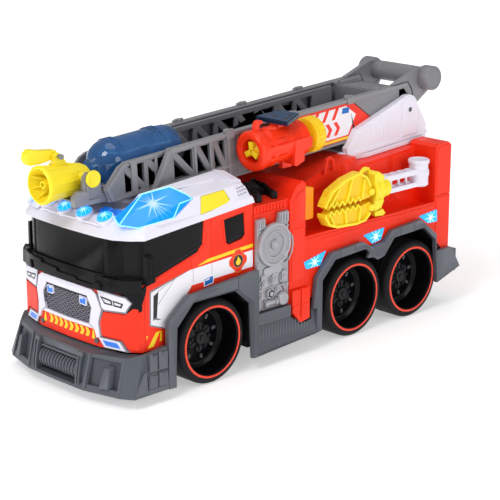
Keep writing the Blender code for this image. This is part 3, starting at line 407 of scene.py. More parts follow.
def lens(name, colour, glow, strength, clear=0.5, rough=0.12, centre=None, size=12, facing="X",
         rays=10):
    """Lens plastic that glows. On the bottle, the water, the beacon edges and the printed front lamps
    no lamp is lit behind, so there the glow is painted light. With a centre, the light gathers in a
    star round the lamp behind it.
    """
    material, tree, shader = new_material(name)
    coords = tree.nodes.new("ShaderNodeTexCoord").outputs["Object"]
    cloud = noise(tree, coords, 90, 2)
    base = ramp(tree, cloud, [(0.3, tuple(c * 0.8 for c in colour)), (0.7, colour)])
    tree.links.new(base, shader.inputs["Base Color"])
    shader.inputs["Transmission Weight"].default_value = clear
    gloss = noise(tree, coords, 160, 3)
    tree.links.new(spread(tree, gloss, 0.3, 0.7, rough, rough + 0.08), shader.inputs["Roughness"])
    shader.inputs["Emission Strength"].default_value = strength
    if centre is None:
        light = ramp(tree, cloud, [(0.35, glow), (0.65, tuple(min(g * 1.5 + 0.05, 1) for g in glow))])
        tree.links.new(light, shader.inputs["Emission Color"])
        return material
    offset = node(tree, "ShaderNodeVectorMath", operation="SUBTRACT")
    offset.inputs[1].default_value = [c * MM for c in centre]
    tree.links.new(coords, offset.inputs[0])
    length = node(tree, "ShaderNodeVectorMath", operation="LENGTH")
    tree.links.new(offset.outputs["Vector"], length.inputs[0])
    parts = tree.nodes.new("ShaderNodeSeparateXYZ")
    tree.links.new(offset.outputs["Vector"], parts.inputs[0])
    flat = {"X": ("Y", "Z"), "Z": ("X", "Y")}[facing]
    angle = node(tree, "ShaderNodeMath", operation="ARCTAN2")
    tree.links.new(parts.outputs[flat[0]], angle.inputs[0])
    tree.links.new(parts.outputs[flat[1]], angle.inputs[1])
    turns = node(tree, "ShaderNodeMath", operation="MULTIPLY")
    turns.inputs[1].default_value = rays / 2
    tree.links.new(angle.outputs[0], turns.inputs[0])
    wave = node(tree, "ShaderNodeMath", operation="COSINE")
    tree.links.new(turns.outputs[0], wave.inputs[0])
    size_of = node(tree, "ShaderNodeMath", operation="ABSOLUTE")
    tree.links.new(wave.outputs[0], size_of.inputs[0])
    sharp = node(tree, "ShaderNodeMath", operation="POWER")
    sharp.inputs[1].default_value = 14
    tree.links.new(size_of.outputs[0], sharp.inputs[0])
    reach = spread(tree, sharp.outputs[0], 0, 1, size * 0.32 * MM, size * MM)
    share = node(tree, "ShaderNodeMath", operation="DIVIDE")
    tree.links.new(length.outputs["Value"], share.inputs[0])
    tree.links.new(reach, share.inputs[1])
    pale = tuple(min(g * 1.6 + 0.25, 1) for g in glow)
    light = ramp(tree, share.outputs[0], [(0, (1, 1, 1)), (0.35, (1, 1, 1)), (0.7, pale), (1, glow)])
    tree.links.new(light, shader.inputs["Emission Color"])
    return material


RED = plastic("Red plastic", "red", (0.93, 0.03, 0.006), 0.36, shine=0.2)
WHITE = plastic("White plastic", "white", (0.8, 0.78, 0.88), 0.36, vary=0.02, edge_highlight=0.1)
BLACK = plastic("Black plastic", "black", (0.005, 0.005, 0.006), 0.26, shine=0.1)
# Fenders, ladder and silver fittings have their edges lifted the most: painted highlights.
FENDER_GREY = plastic("Fender grey plastic", "dark_grey", (0.076, 0.085, 0.102), 0.4, edge_highlight=0.9)
LADDER_GREY = plastic("Ladder grey plastic", "ladder_grey", (0.2, 0.197, 0.212), 0.34, edge_highlight=0.7,
                      shine=0.45)
SILVER = plastic("Silver plastic", "silver", (0.33, 0.33, 0.355), 0.34, metallic=0.35, edge_highlight=0.7,
                 speck=(0.75, 0.75, 0.8))
YELLOW = plastic("Yellow plastic", "yellow", (0.95, 0.76, 0.025), 0.33)
# Deep orange, used only for the rest block behind the jaws: partly its own colour, partly painted shade
# where it sits in the jaws' shadow.
AMBER = plastic("Amber plastic and painted shade", "orange", (0.96, 0.3, 0.006), 0.33)
ORANGE = plastic("Orange-red plastic", "orange", (0.94, 0.034, 0.004), 0.3)
TYRE = plastic("Tyre", "tyre", (0.012, 0.012, 0.014), 0.55, vary=0.15, grain=0.25, shine=0.12)
RIM = plastic("Rim black", None, (0.003, 0.003, 0.004), 0.25, shine=0.12)
HUB = plastic("Hub dark grey", "black", (0.012, 0.013, 0.015), 0.38, shine=0.2)
LUG = plastic("Lug grey", "dark_grey", (0.085, 0.085, 0.09), 0.4)
RING = plastic("Ring red", "orange", (0.92, 0.055, 0.02), 0.3)
STEEL = plastic("Steel", None, (0.55, 0.56, 0.58), 0.28, metallic=1, grain=0.03)
BOARD = plastic("Circuit board", None, (0.01, 0.12, 0.04), 0.5)
CELL = plastic("Battery wrap", None, (0.1, 0.1, 0.11), 0.35)


def printed(name, slot, colour, **more):
    return plastic(name, slot, colour, 0.3, grain=0.02, edge_highlight=0, **more)


PRINT_WHITE = printed("Printed white", "white", (0.88, 0.86, 0.92), vary=0.02)
PRINT_YELLOW = printed("Printed yellow", "yellow", (0.96, 0.68, 0.02))
PRINT_RED = printed("Printed red", "red", (0.9, 0.03, 0.01))
PRINT_ORANGE = printed("Printed orange", "orange", (0.92, 0.16, 0.03))
PRINT_BLACK = printed("Printed black", "black", (0.02, 0.02, 0.024))
PRINT_GREY = printed("Printed grey", "dark_grey", (0.24, 0.24, 0.27))
PRINT_BLUE = printed("Printed blue", "blue_lens", (0.01, 0.17, 0.62), vary=0.3)
NAVY = plastic("Navy lens", "navy", (0.004, 0.014, 0.045), 0.16, shine=0.35)


# ---- cab ------------------------------------------------------------------------------------
CAB_HALF = [(0, -160.5), (31, -159.4), (53.6, -152.9), (60.5, -147), (60.5, -46)]
SIDE = 60.5  # side plane of the cab
INK = 0.22  # how far printed graphics stand off the plastic
FRONT_ARCH = [(-121, 20), (-119.9, 48.1), (-105.5, 62.3), (-67, 62.2), (-53.7, 50.5), (-52.4, 20)]
REAR_ARCH = [(16.9, 20), (17.2, 51.9), (30.5, 64.9), (63.8, 66.5), (76.4, 55.5), (84.1, 57)]
REAR_ARCH += [(94.9, 68.8), (129.6, 70.1), (143.3, 57.8), (146.2, 22.5)]


def offset_path(path, distance):
    """An open path moved to its left by a distance, mitred at its corners."""
    moved = []
    for i, point in enumerate(path):
        here = Vector(point)
        before = here - Vector(path[i - 1]) if i else None
        after = Vector(path[i + 1]) - here if i + 1 < len(path) else None
        first = (before or after).normalized()
        second = (after or before).normalized()
        normal = Vector((-first.y - second.y, first.x + second.x)).normalized()
        scale = distance / max(normal.dot(Vector((-first.y, first.x))), 0.3)
        moved.append(tuple(here + normal * scale))
    return moved


def whole(half):
    """Half an outline, from the middle plane outwards, completed by its mirror image."""
    return half + [(-x, y) for x, y in reversed(half) if x > 0]


def grown(half, distance):
    """The cab's plan half-outline moved outwards; its middle point stays on the middle plane."""
    full = offset_path([(-half[1][0], half[1][1])] + half, -distance)[1:]
    return [(0, full[0][1])] + full[1:]


def skin(out, low=36.4, high=112, depth=0.35):
    """A shell that follows the cab's walls, from just under the surface to so far outside it."""
    outer = whole(grown(CAB_HALF, out))
    inner = whole(grown(CAB_HALF, -depth))
    shell = loft([[(x, y, z) for x, y in outer] for z in (low, high)])
    return cut(shell, loft([[(x, y, z) for x, y in inner] for z in (low - 2, high + 2)]))


def front_relief(outlines, out=INK, mirror=True):
    """(x, z) outlines laid on the nose, following its facets, each with its mirror image."""
    pieces = []
    for outline in outlines:
        piece = common(skin(out), prism(outline, NOSE_REACH, "Y"))
        pieces.append(piece)
        if mirror:
            pieces.append(flipped(piece))
    return gather(pieces, "relief")


def side_relief(outlines, out=INK, x=SIDE, depth=0.35):
    """(y, z) outlines laid on both flanks."""
    pieces = [prism(outline, (x - depth, x + out), "X") for outline in outlines]
    return both(pieces)


def stroke(points, width):
    """The outline of a thin band along a path."""
    return offset_path(points, width / 2) + list(reversed(offset_path(points, -width / 2)))


def disc(centre, radius, steps=28, start=0):
    return [
        (
            centre[0] + radius * math.cos(start + 2 * math.pi * i / steps),
            centre[1] + radius * math.sin(start + 2 * math.pi * i / steps),
        )
        for i in range(steps)
    ]


def cab_front():
    """Grille with its woven mesh, headlights, fog lights and the hazard strip."""
    grille = [(0, 75.8), (27, 75.4), (30.9, 72.6), (34.6, 62.8), (32.2, 54), (33.4, 44), (30.8, 42.8)]
    grille += [(28.6, 48.4), (0, 48.2)]
    opening = [(0, 70.2), (21.7, 69.7), (26.3, 62.4), (22.8, 50.7), (0, 50.5)]
    full_grille, full_opening = whole(grille), whole(opening)
    frame_ring = prism(full_grille, (-190, -147), "Y")
    cut(frame_ring, prism(full_opening, (-200, -140), "Y"))
    surround = common(skin(1.5), frame_ring)
    show(surround, "grille_frame", WHITE, bevel=0.35)
    shade = [(30.2, 73.4), (31.6, 73.2), (35.9, 62.8), (33.5, 54), (34.9, 43.2), (33, 42.4), (31.2, 54)]
    shade += [(33.4, 62.8)]
    inner_shade = stroke([(27.4, 49), (23.6, 51.2), (25.6, 61.2)], 0.5)
    show(front_relief([shade], 0.9), "grille_shade", PRINT_GREY)
    show(front_relief([inner_shade], 1.6), "grille_inner_shade", PRINT_GREY)
    backing = front_relief([full_opening], 0.15, mirror=False)
    show(backing, "grille_backing", PRINT_BLACK)
    weave = []
    rows, columns = 13, 20
    for row in range(rows):
        z = 51.4 + row * 1.46
        half = 22.8 + min(z - 50.7, 11.7) * 0.3 - max(z - 62.4, 0) * 0.63
        for column in range(columns):
            x = -25.6 + column * 2.7 + (row % 2) * 1.35
            if abs(x) > half - 1 or (abs(abs(x) - 17.6) < 4 and abs(z - 65.5) < 4):
                continue
            y = -160.5 + abs(x) * 0.0355
            lean = 0.42 if (row + column) % 2 else -0.42
            link_bar = box((-1.15, -0.3, -0.42), (1.15, 0.3, 0.42))
            turn = Matrix.Translation((x, y - 0.3, z)) @ Matrix.Rotation(lean, 4, "Y")
            weave.append(shift(link_bar, turn))
    show(weave, "grille_mesh", GRILLE, bevel=0.12, segments=1)
    rim = [(-22.2, 70), (22.2, 70), (21.8, 69), (-21.8, 69)]
    show(front_relief([rim], 1.56, mirror=False), "grille_top_line", PRINT_BLACK)

    lamp_rim = [(14.2, 68.9), (20.6, 68.4), (21.6, 67.4), (21, 62.4), (14.6, 62.8), (13.8, 63.8)]
    lamp = [(15, 68.1), (20.2, 67.7), (20.8, 67), (20.3, 63.2), (15.1, 63.6), (14.6, 64.2)]
    show(front_relief([lamp_rim], 1.5), "grille_lamp_rims", WHITE, bevel=0.2)
    show(front_relief([lamp], 1.8), "grille_lamps", BLUE_LAMP, bevel=0.3)
    glints = [(15.2, 67.9), (18.6, 67.6), (18, 66.7), (15.2, 67)]
    show(front_relief([glints], 1.88), "grille_lamp_glints", PRINT_WHITE)

    panel = [(32.4, 76.4), (53.6, 73.6), (56.4, 70.4), (53.2, 64.2), (37.6, 63.4), (35.6, 64.6)]
    edge = [(31.8, 76.6), (54.2, 74.4), (57.6, 70.8), (53.8, 63), (37, 62.2), (34.8, 63.6)]
    show(front_relief([edge], 1.2), "headlight_shade", PRINT_GREY)
    show(front_relief([panel], 1.7), "headlight_panels", WHITE, bevel=0.3)
    cells = [
        [(34.6, 72.6), (43.4, 71), (44.2, 67.2), (37.8, 67.6)],
        [(44.2, 70.9), (52.2, 69.8), (50.8, 66.6), (45, 67)],
    ]
    inner = [
        [(36.3, 71.3), (42.4, 70), (42.9, 68.3), (38.5, 68.6)],
        [(45.2, 69.8), (50.6, 69), (50, 67.8), (45.9, 68.1)],
    ]
    show(front_relief(cells, 1.8), "headlight_cell_rims", PRINT_BLACK)
    show(front_relief(inner, 1.95), "headlight_cells", HEADLIGHT, bevel=0.15)

    fog_edge = [(31.6, 44), (49.6, 43.4), (54.8, 36.6), (36.2, 36.8)]
    fog_panel = [(32.4, 43.4), (48.2, 42.8), (52.8, 37), (36.8, 37.4)]
    fog = [(35.4, 42.2), (46.6, 41.8), (49.4, 38.3), (38.2, 38.6)]
    show(front_relief([fog_edge], 1.2), "fog_light_shade", PRINT_GREY)
    show(front_relief([fog_panel], 1.6), "fog_light_panels", WHITE, bevel=0.2)
    show(front_relief([fog], 1.8), "fog_lights", BLUE_LAMP, bevel=0.2)
    show(
        front_relief([disc((29.4, 40.2), 1.9)], 0.8),
        "front_dots", FENDER_GREY, bevel=0.3,
    )
    stripes = []
    for i in range(-4, 4):
        x = i * 5.6 + 1
        stripes.append([(x, 41.2), (x + 3.1, 41.2), (x + 4.9, 44.2), (x + 3.1, 47.2), (x, 47.2),
                        (x + 1.8, 44.2)])
    stripes.append([(24.6, 40.9), (28, 40.6), (26.4, 47.3), (25.6, 47.3)])
    stripes.append([(-24.6, 40.9), (-28, 40.6), (-26.4, 47.3), (-25.6, 47.3)])
    show(front_relief(stripes, INK, mirror=False), "front_hazard_strip", PRINT_YELLOW)
    block = [(36.6, 61.6), (53.4, 62.2), (57.6, 66.8), (60.2, 66.4), (60.2, 38), (55.6, 38.2),
             (50.4, 44.8)]
    block += [(34.9, 45.4), (33.9, 54)]
    show(front_relief([block], 1.5), "front_corner_panels", RED, bevel=0.4)


def cab_side():
    """Door panels, stripes, badge and hazard bars on both flanks."""
    panel = [(-138.6, 75.8), (-139.1, 53.8), (-125.3, 48.4), (-102.8, 73), (-46.2, 74.4), (-46.2, 86.4)]
    panel += [(-104.4, 84)]
    border = [(-139.6, 76.8), (-140.1, 53.1), (-124.9, 47.3), (-102.3, 72.1), (-124, 50.6),
              (-138.3, 55)]
    border += [(-137.8, 75.6), (-104.6, 84.4)]
    show(side_relief([border], 0.14), "door_panel_shade", PRINT_GREY)
    show(side_relief([panel], 0.3), "door_panels", PRINT_WHITE, bevel=0.12, segments=1)
    slit = [(-136.6, 73), (-132.4, 75.2), (-134, 57.8), (-137.2, 56.2)]
    show(side_relief([slit], 0.36), "door_slits", PRINT_BLACK)
    lip = [(-137.6, 57), (-134.8, 57.8), (-130, 55.6), (-133.2, 55.8)]
    crease = stroke([(-133, 75.2), (-117.4, 81.2), (-132.6, 66.6)], 0.35)
    folds = [stroke([(y, 75), (y, 84.6)], 0.28) for y in (-101.6, -84.6)]
    show(side_relief([lip, crease] + folds, 0.38), "door_creases", PRINT_GREY)
    stripe = [(-97.4, 85.4), (-88, 88.4), (-60, 90.2), (-46.2, 90.8), (-46.2, 88.4), (-60, 87.9)]
    stripe += [(-88, 86.2)]
    show(side_relief([stripe], INK), "side_stripes", PRINT_YELLOW)
    lamp_rim = [(-92.2, 75.6), (-91.4, 76.2), (-83.4, 77), (-82.8, 76), (-83.2, 70.6), (-92, 69.6)]
    lamp = [(-91.4, 74.8), (-84, 75.9), (-84, 71.4), (-91.3, 70.4)]
    show(side_relief([lamp_rim], 0.42), "side_lamp_rims", PRINT_WHITE)
    show(side_relief([lamp], 0.5), "side_lamp_prints", PRINT_BLUE)
    glint = [(-91, 74.4), (-86.6, 75), (-87.4, 73.9), (-90.8, 73.5)]
    show(side_relief([glint], 0.55), "side_lamp_glints", PRINT_WHITE)

    centre = (-60.4, 81.4)
    steps = 96
    petals, ring = [], []
    for i in range(steps):
        a = 2 * math.pi * i / steps
        radius = 7.7 + 0.75 * math.copysign(abs(math.cos(4 * a)) ** 0.5, math.cos(4 * a))
        petals.append((centre[0] + radius * math.cos(a), centre[1] + radius * math.sin(a)))
        ring.append((centre[0] + (radius - 0.9) * math.cos(a),
                     centre[1] + (radius - 0.9) * math.sin(a)))
    show(side_relief([petals], 0.4), "badge_edge", PRINT_ORANGE)
    show(side_relief([ring], 0.46), "badge_field", PRINT_RED)
    show(side_relief([disc(centre, 4.9, 40)], 0.52), "badge_rim", PRINT_ORANGE)
    show(side_relief([disc(centre, 4.3, 40)], 0.58), "badge_centre", PRINT_BLACK)
    drop = [(0, 3.3), (1.2, 1.4), (2.2, 0.4), (2.3, -1.2), (1.3, -2.7), (0, -3.1), (-1.3, -2.7),
            (-2.3, -1.2)]
    drop += [(-2, 0.6), (-1.1, 0.2), (-0.9, 1.6)]
    flame = [(centre[0] + y, centre[1] + z) for y, z in drop]
    show(side_relief([flame], 0.64), "badge_flame", PRINT_YELLOW)
    bars = [
        [(-142, 38), (-137.2, 38.4), (-131.2, 48), (-134.8, 47.6)],
        [(-131.6, 40.6), (-129.9, 40.8), (-129.9, 47.6), (-130.8, 47.4)],
        [(-143, 44.4), (-141.8, 46.8), (-143.2, 47)],
    ]
    show(side_relief(bars, INK), "hazard_bars", PRINT_YELLOW)


def cab_shell():
    """The red cab with its door seams and panel grooves."""
    shell = cad_copy("cab_shell", "cab_body")
    grooves = [(-143.9, 36, 80), (-103, 62.4, 95), (-85, 86.6, 116.6)]
    for sign in (1, -1):
        for y, low, high in grooves:
            cut(shell, box((sign * SIDE - 0.45, y - 0.16, low), (sign * SIDE + 0.45, y + 0.16, high)))
    show(shell, "cab_body", RED, "body", "cab_shell", bevel=0.35)
    frame_edge = [(-97, 96.4), (-93.2, 99.8), (-92, 114), (-90.9, 114.2), (-92, 99), (-96.2, 95)]
    chamfer = [(-135, 83.4), (-97.2, 94.1), (-92.2, 98.8), (-90.8, 98.4), (-96.6, 92.6), (-135.2, 81.6)]
    show(side_relief([frame_edge, chamfer], 0.45), "window_frames", RED, bevel=0.3)
    rear_frame = [(-75, 113.6), (-72.8, 95.6), (-69.4, 93.2), (-56.2, 94.9), (-52.4, 97.9),
                  (-53.2, 115.4)]
    opening = [(-73.6, 114.4), (-71.4, 96.4), (-69, 94.4), (-56.9, 96.1), (-53.7, 98.5), (-54.6, 116)]
    trim = both(
        cut(prism(rear_frame, (60.2, 60.9), "X"), prism(opening, (59, 62), "X"))
    )
    show(trim, "rear_window_frames", RED, bevel=0.2)


def glazing():
    """Black wrap-round glass with the stepped visor over the lamps, and the tall mirrors."""
    glass = cad_copy("windshield", "glazing")
    corner = [(50, -160.2), (63.2, -147.5), (63.2, -140), (75, -140), (75, -175), (50, -175)]
    for sign in (1, -1):
        cut(glass, prism(mirrored(sign, corner), (70, 90), "Z"))
    fillers = []
    for sign in (1, -1):
        beyond = [(38, -158.25), (60.95, -143), (75, -143), (75, -175), (38, -175)]
        cut(glass, prism(mirrored(sign, beyond), (86, 120), "Z"))
        filler = [(37.6, -158.3), (60.3, -143.4), (58.4, -139.6), (35, -155)]
        fillers.append(prism(mirrored(sign, filler), (84, 112), "Z"))
    show(glass, "glazing", BLACK, "body", "windshield", bevel=0.5)
    show(fillers, "glass_corners", BLACK, bevel=0.5)
    upper = [(-62.8, 84.6), (-47, 87.4), (-45.5, 86.6), (-24, 86.6), (-22.4, 84.6), (-6, 84.2),
             (-4.6, 82.4)]
    upper += [(14, 82.2), (15.2, 80.8), (40, 80.4), (41.6, 82.4), (44.4, 82.6), (46.4, 80),
              (62.8, 79.4)]
    upper += [(62.8, 78.4), (-62.8, 78.4)]
    band = whole([(0, -165.4), (30, -164.1), (43, -160.7), (54.8, -154.2), (61.4, -148.8),
                  (62.2, -147)])
    inner = whole([(0, -160), (30.8, -158.9), (53.2, -152.4), (60, -146.6), (60, -140)])
    step = loft([[(x, y, z) for x, y in band] for z in (77, 90)])
    cut(step, loft([[(x, y, z) for x, y in inner] for z in (70, 95)]))
    common(step, prism(upper, (-190, -147.6), "Y"))
    show(step, "visor_step", BLACK, bevel=0.55)
    lobes = []
    for sign in (1, -1):
        lobes.append(
            hull(
                [(sign * x, y, z) for x, y, z in (
                    (33, -164.6, 77.6), (38.8, -163.2, 77.4), (37.4, -163.6, 82.6),
                    (34.6, -164.4, 82.8),
                    (33, -160.8, 77.6), (38.8, -159, 77.4), (37, -159.4, 84.2), (34.6, -160, 84.4),
                )]
            )
        )
    show(lobes, "visor_ridges", BLACK, bevel=0.6)
    corner = [(49.6, 79), (64, 79), (64, 68.6), (60.8, 64.6), (55, 62.6), (54.2, 64), (57.2, 70.6)]
    corner += [(54, 74.6)]
    show(front_relief([corner], 1.4), "visor_corners", BLACK, bevel=0.5)
    flank = [(-147.6, 79.5), (-142.8, 82.4), (-144, 76.4), (-147.6, 68.4)]
    show(side_relief([flank], 1.6), "visor_flanks", BLACK, bevel=0.5)
    line = stroke([(-133, 87.6), (-98.8, 97.4), (-95, 101.2), (-94.6, 113.4)], 0.4)
    show(side_relief([line], 0.2), "glass_chamfer", PRINT_BLACK, bevel=0.1, segments=1)

    low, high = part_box("left_mirror")
    x0, x1 = low[0] / MM, high[0] / MM
    y0, y1 = low[1] / MM, high[1] / MM
    z0, z1 = low[2] / MM, high[2] / MM
    mirror = hull([
        (x0, y0, z0 + 1), (x1 - 1.2, y0 + 0.6, z0), (x1, y0 + 2.4, z0 + 1.2),
        (x1 - 0.4, y1 - 2, z0 + 1.6),
        (x0, y1 - 0.6, z0 + 1.8), (x0, y0, z1 - 3), (x1 - 1, y0 + 0.9, z1 - 1),
        (x1, y0 + 2.8, z1 - 1.6),
        (x1 - 0.4, y1 - 2.4, z1 - 2.8), (x0, y1 - 1.2, z1 - 3), (x0, y0 + 0.6, z1),
        (x0 + 1, y1 - 3, z1),
    ])
    groove = box((x1 - 0.5, y0 + 5.2, z0 + 3), (x1 + 1, y0 + 5.8, z1 - 3))
    cut(mirror, groove)
    other = flipped(mirror)
    show(mirror, "left_mirror_shell", BLACK, "body", "left_mirror", bevel=0.5)
    show(other, "right_mirror_shell", BLACK, "body", "right_mirror", bevel=0.5)


# ---- bumper, skirts, wheels -----------------------------------------------------------------
def bumper():
    """Deep grey bumper: scoops with tapered ribs, winch with a ribbed drum, stepped side boxes."""
    body = cad_copy("front_bumper", "bumper_shell")
    for sign in (1, -1):
        x = span(sign, 65.6, 70)
        cut(body, box((x[0], -147.4, 9.8), (x[1], -146.7, 40)),
            box((x[0], -138.9, 9.8), (x[1], -138.5, 40)))
        cut(body, box((x[0], -147, 22.4), (x[1], -129, 23)))
        slot = span(sign, 25.4, 27.2)
        cut(body, box((slot[0], -180, 12.5), (slot[1], -170.2, 40)))
    show(body, "bumper_shell", FENDER_GREY, "body", "front_bumper", bevel=0.55)
    ribs = []
    for sign in (1, -1):
        ribs.append(hull([(sign * x, y, z) for x, y, z in (
            (43.6, -170.8, 13.2), (50.2, -168.6, 13.2), (49, -165.4, 26.6), (45.2, -166.4, 26.8),
            (43.2, -164, 13), (50.6, -162, 13), (49.4, -160.6, 27.4), (44.8, -162, 27.6))]))
        ribs.append(hull([(sign * x, y, z) for x, y, z in (
            (29.6, -173.4, 10), (31.4, -173.2, 10), (31.6, -167, 33.6), (30.2, -167.4, 33.6),
            (29.6, -168, 10), (31.4, -168, 10), (31.6, -164, 33.6), (30.2, -164, 33.6))]))
        ribs.append(hull([(sign * x, y, z) for x, y, z in (
            (56.6, -166.9, 9.2), (58.2, -166.2, 9.2), (57, -158.9, 33.8), (55.8, -159.4, 33.6),
            (56.6, -162, 9.2), (58.2, -161.4, 9.2), (57, -156.5, 33.8), (55.8, -157, 33.6))]))
    show(ribs, "bumper_ribs", FENDER_GREY, bevel=0.45)

    ridge = []
    count = 13
    pitch = 41 / count
    start = -20.5
    for i in range(count):
        x = start + i * pitch
        ridge += [(5.9, x), (7, x + 0.5), (7.15, x + pitch * 0.5), (7, x + pitch - 0.9),
                  (5.9, x + pitch - 0.4)]
    profile = [(0, start)] + ridge + [(5.9, start + 41), (0, start + 41)]
    drum = lathe(profile, "X", (0, -164.2, 18.4), 40)
    show(drum, "winch_ribs", FENDER_GREY, angle=35)
    parts = []
    cheek = [(-172.9, 10), (-173.1, 14), (-170.4, 29), (-168.6, 31.6), (-161, 31.8), (-161, 10)]
    for sign in (1, -1):
        parts.append(prism(cheek, span(sign, 21.2, 22.9), "X"))
        parts.append(prism(cheek, span(sign, 24, 25.2), "X"))
        parts.append(box((min(sign * 20.8, sign * 25.6), -169.6, 30),
                         (max(sign * 20.8, sign * 25.6), -163, 32.9)))
    parts.append(box((-20.6, -168.4, 26.4), (20.6, -165.2, 27.6)))
    parts.append(box((-20.6, -167.4, 31.2), (20.6, -164.2, 32.6)))
    parts.append(box((-20.6, -166.6, 27), (20.6, -163, 32)))
    parts.append(box((-18.8, -167.3, 28.6), (18.8, -165, 30.4)))
    show(parts, "winch_frame", FENDER_GREY, bevel=0.35)

    boxes = []
    for sign in (1, -1):
        for outline in (
            [(-146, 24), (-146, 35.4), (-143.6, 36.4), (-143.2, 34.8), (-139.4, 35), (-139.2, 24)],
            [(-138.2, 24), (-138.2, 36), (-135.4, 36.8), (-135, 35.4), (-130.4, 36), (-130.4, 24)],
            [(-146, 12.4), (-146, 21.4), (-144, 22.2), (-143.6, 21), (-139.4, 21), (-139.4, 12.4)],
            [(-138, 12.4), (-138, 22), (-136, 22.2), (-135.6, 21.4), (-130.4, 21.6), (-130.4, 12.4)],
        ):
            boxes.append(prism(outline, span(sign, 64, 67.3), "X"))
        arrow = [(-159.4, 9.2), (-151, 24.6), (-148.6, 24.8), (-148.4, 9.2)]
        boxes.append(prism(arrow, span(sign, 63.8, 67.25), "X"))
        boxes.append(prism([(-148.2, 9), (-148.2, 11.6), (-130.2, 12), (-130.2, 9)],
                           span(sign, 64, 67.4), "X"))
    show(boxes, "bumper_side_boxes", FENDER_GREY, bevel=0.4)


def skirts():
    """Fenders with chamfered arches, raised boxes and the ribbed running board."""
    plate = cad_copy("left_skirt", "left_fender")
    for path in (FRONT_ARCH, REAR_ARCH):
        wide = offset_path(path, 2.3)
        loops = [
            [(64.9, y, z) for y, z in [(path[0][0], -5)] + path + [(path[-1][0], -5)]],
            [(67.6, y, z) for y, z in [(wide[0][0], -5)] + wide + [(wide[-1][0], -5)]],
        ]
        cut(plate, loft(loops))
    for y in (-97, -66, 36, 52, 102, 118):
        cut(plate, box((66.9, y - 0.2, 63), (68, y + 0.2, 80)))
    cut(plate, hull([(x, y, z) for y in (-46.4, 11.6) for x, z in ((64.4, 32.6), (67.6, 14.4),
                                                                   (70, 14.4), (70, 32.6))]))
    other = flipped(plate)
    show(plate, "left_fender", FENDER_GREY, "body", "left_skirt", bevel=0.4)
    show(other, "right_fender", FENDER_GREY, "body", "right_skirt", bevel=0.4)
    raised = [
        [(-104.6, 66.6), (-101.8, 69.2), (-86.2, 70), (-84, 67.4), (-101, 66)],
        [(-51, 64), (-51, 71.6), (-47.6, 71.8), (-47.6, 58)],
        [(66, 58.6), (70.4, 66.2), (83.6, 67.2), (87.4, 63.6), (80.6, 58.4), (75.6, 57.6)],
        [(86.4, 65.2), (92.9, 74.2), (96.2, 74.2), (90.2, 65.4)],
    ]
    blocks = [prism(outline, (64.2, 66.4 if i < 2 else 66.9), "X") for i, outline in enumerate(raised)]
    blocks.append(prism(raised[0], (66, 67.4), "X"))
    show(both(blocks), "fender_blocks", FENDER_GREY, bevel=0.5)
    board = []
    for i in range(19):
        y = -44.6 + i * 2.9
        top = 31 - max(y + 15, 0) * 0.46
        reach = 67.35 - (top - 15) * 0.176
        board.append(hull([(x, y + s, 15) for x in (64, 67.38) for s in (-1.5, -0.5)]
                          + [(x, y + s, top) for x in (63, reach + 0.4) for s in (1.2, 2.2)]))
    board.append(prism([(-47.2, 10.4), (-47.2, 12.6), (12, 15.2), (12, 13.4)], (65.6, 67.4), "X"))
    board.append(prism([(-46.2, 33.4), (-46.2, 34.6), (-15.6, 34.6), (-15.6, 33.4)], (65.6, 67.4), "X"))
    show(both(board), "running_board_ribs", FENDER_GREY, bevel=0.2, segments=1)


def wheels():
    """Rounded tyres, a red ring, and a bolted hub deep in each dish."""
    tread = []
    for i in range(7):
        a = math.radians(90 - i * 15)
        tread.append((26.6 + 3.4 * math.cos(a), 8.6 + 3.4 * math.sin(a)))
    grooves = [(30, 5.6), (29.5, 5.3), (29.5, 4.9), (30, 4.6), (30, 0.4), (29.5, 0.2)]
    half = [(25.25, 11.2), (25.6, 11.9)] + tread + grooves
    profile = half + [(r, -h) for r, h in reversed(half)]
    tyre = lathe(profile, "Z", (0, 0, 0), 96)
    ring = lathe([(23.9, 11.9), (24.2, 12.35), (25.3, 12.35), (25.6, 12), (25.3, 11.5), (24.2, 11.5)],
                 steps=96)
    hub_parts = [
        lathe(
            [(0, -4), (10.6, -4.3), (10.6, -2.6), (9.6, -1.6), (0, -1.6)],
            steps=60,
            wave=lambda i, k: 0.9 * math.cos(6 * 2 * math.pi * i / 60) if k in (1, 2, 3) else 0,
        ),
        lathe([(0, -2), (5.4, -2), (5.2, 0.2), (4.4, 1), (2, 1.1), (1.9, 1.9), (1.2, 2.3), (0, 2.3)],
              steps=36),
        lathe([(18.6, -4.6), (20.2, -4.6), (20.2, -3.8), (18.6, -3.8)], steps=60),
    ]
    for i in range(6):
        a = math.radians(60 * i + 30)
        nut = rod((7.8 * math.cos(a), 7.8 * math.sin(a), -0.9), 1.25, 2, "Z", 6)
        hub_parts += [nut, rod((7.8 * math.cos(a), 7.8 * math.sin(a), 0.2), 0.6, 1, "Z", 12)]
    for i in range(6):
        a = math.radians(60 * i)
        web = box((3, -0.7, -3), (9.4, 0.7, -0.7))
        hub_parts.append(shift(web, Matrix.Rotation(a, 4, "Z")))
    hub = gather(hub_parts, "hub")
    marks = []
    for i in range(8):
        a = math.radians(45 * i + 12)
        mark = box((13.4, -1.1, -4.8), (16.8, 1.1, -3.2))
        marks.append(shift(mark, Matrix.Rotation(a, 4, "Z")))
    marks = gather(marks, "marks")
    for axle, y in AXLES.items():
        for side, sign in (("left", 1), ("right", -1)):
            seat = Matrix.Translation((sign * 51.5, y,
                                       AXLE_HEIGHT)) @ Matrix.Rotation(sign * math.pi / 2, 4, "Y")
            body, stem = f"{axle}_wheels", f"{axle}_{side}"
            show(clone(tyre, seat), f"{stem}_tread", TYRE, body, f"{stem}_tyre", angle=50)
            show(clone(ring, seat), f"{stem}_ring", RING, body, angle=60)
            show(clone(hub, seat), f"{stem}_hub", HUB, body, bevel=0.15, segments=1, angle=40)
            show(clone(marks, seat), f"{stem}_marks", LUG, body, bevel=0.2, segments=1)
    for used in (tyre, ring, hub, marks):
        bpy.data.objects.remove(used, do_unlink=True)


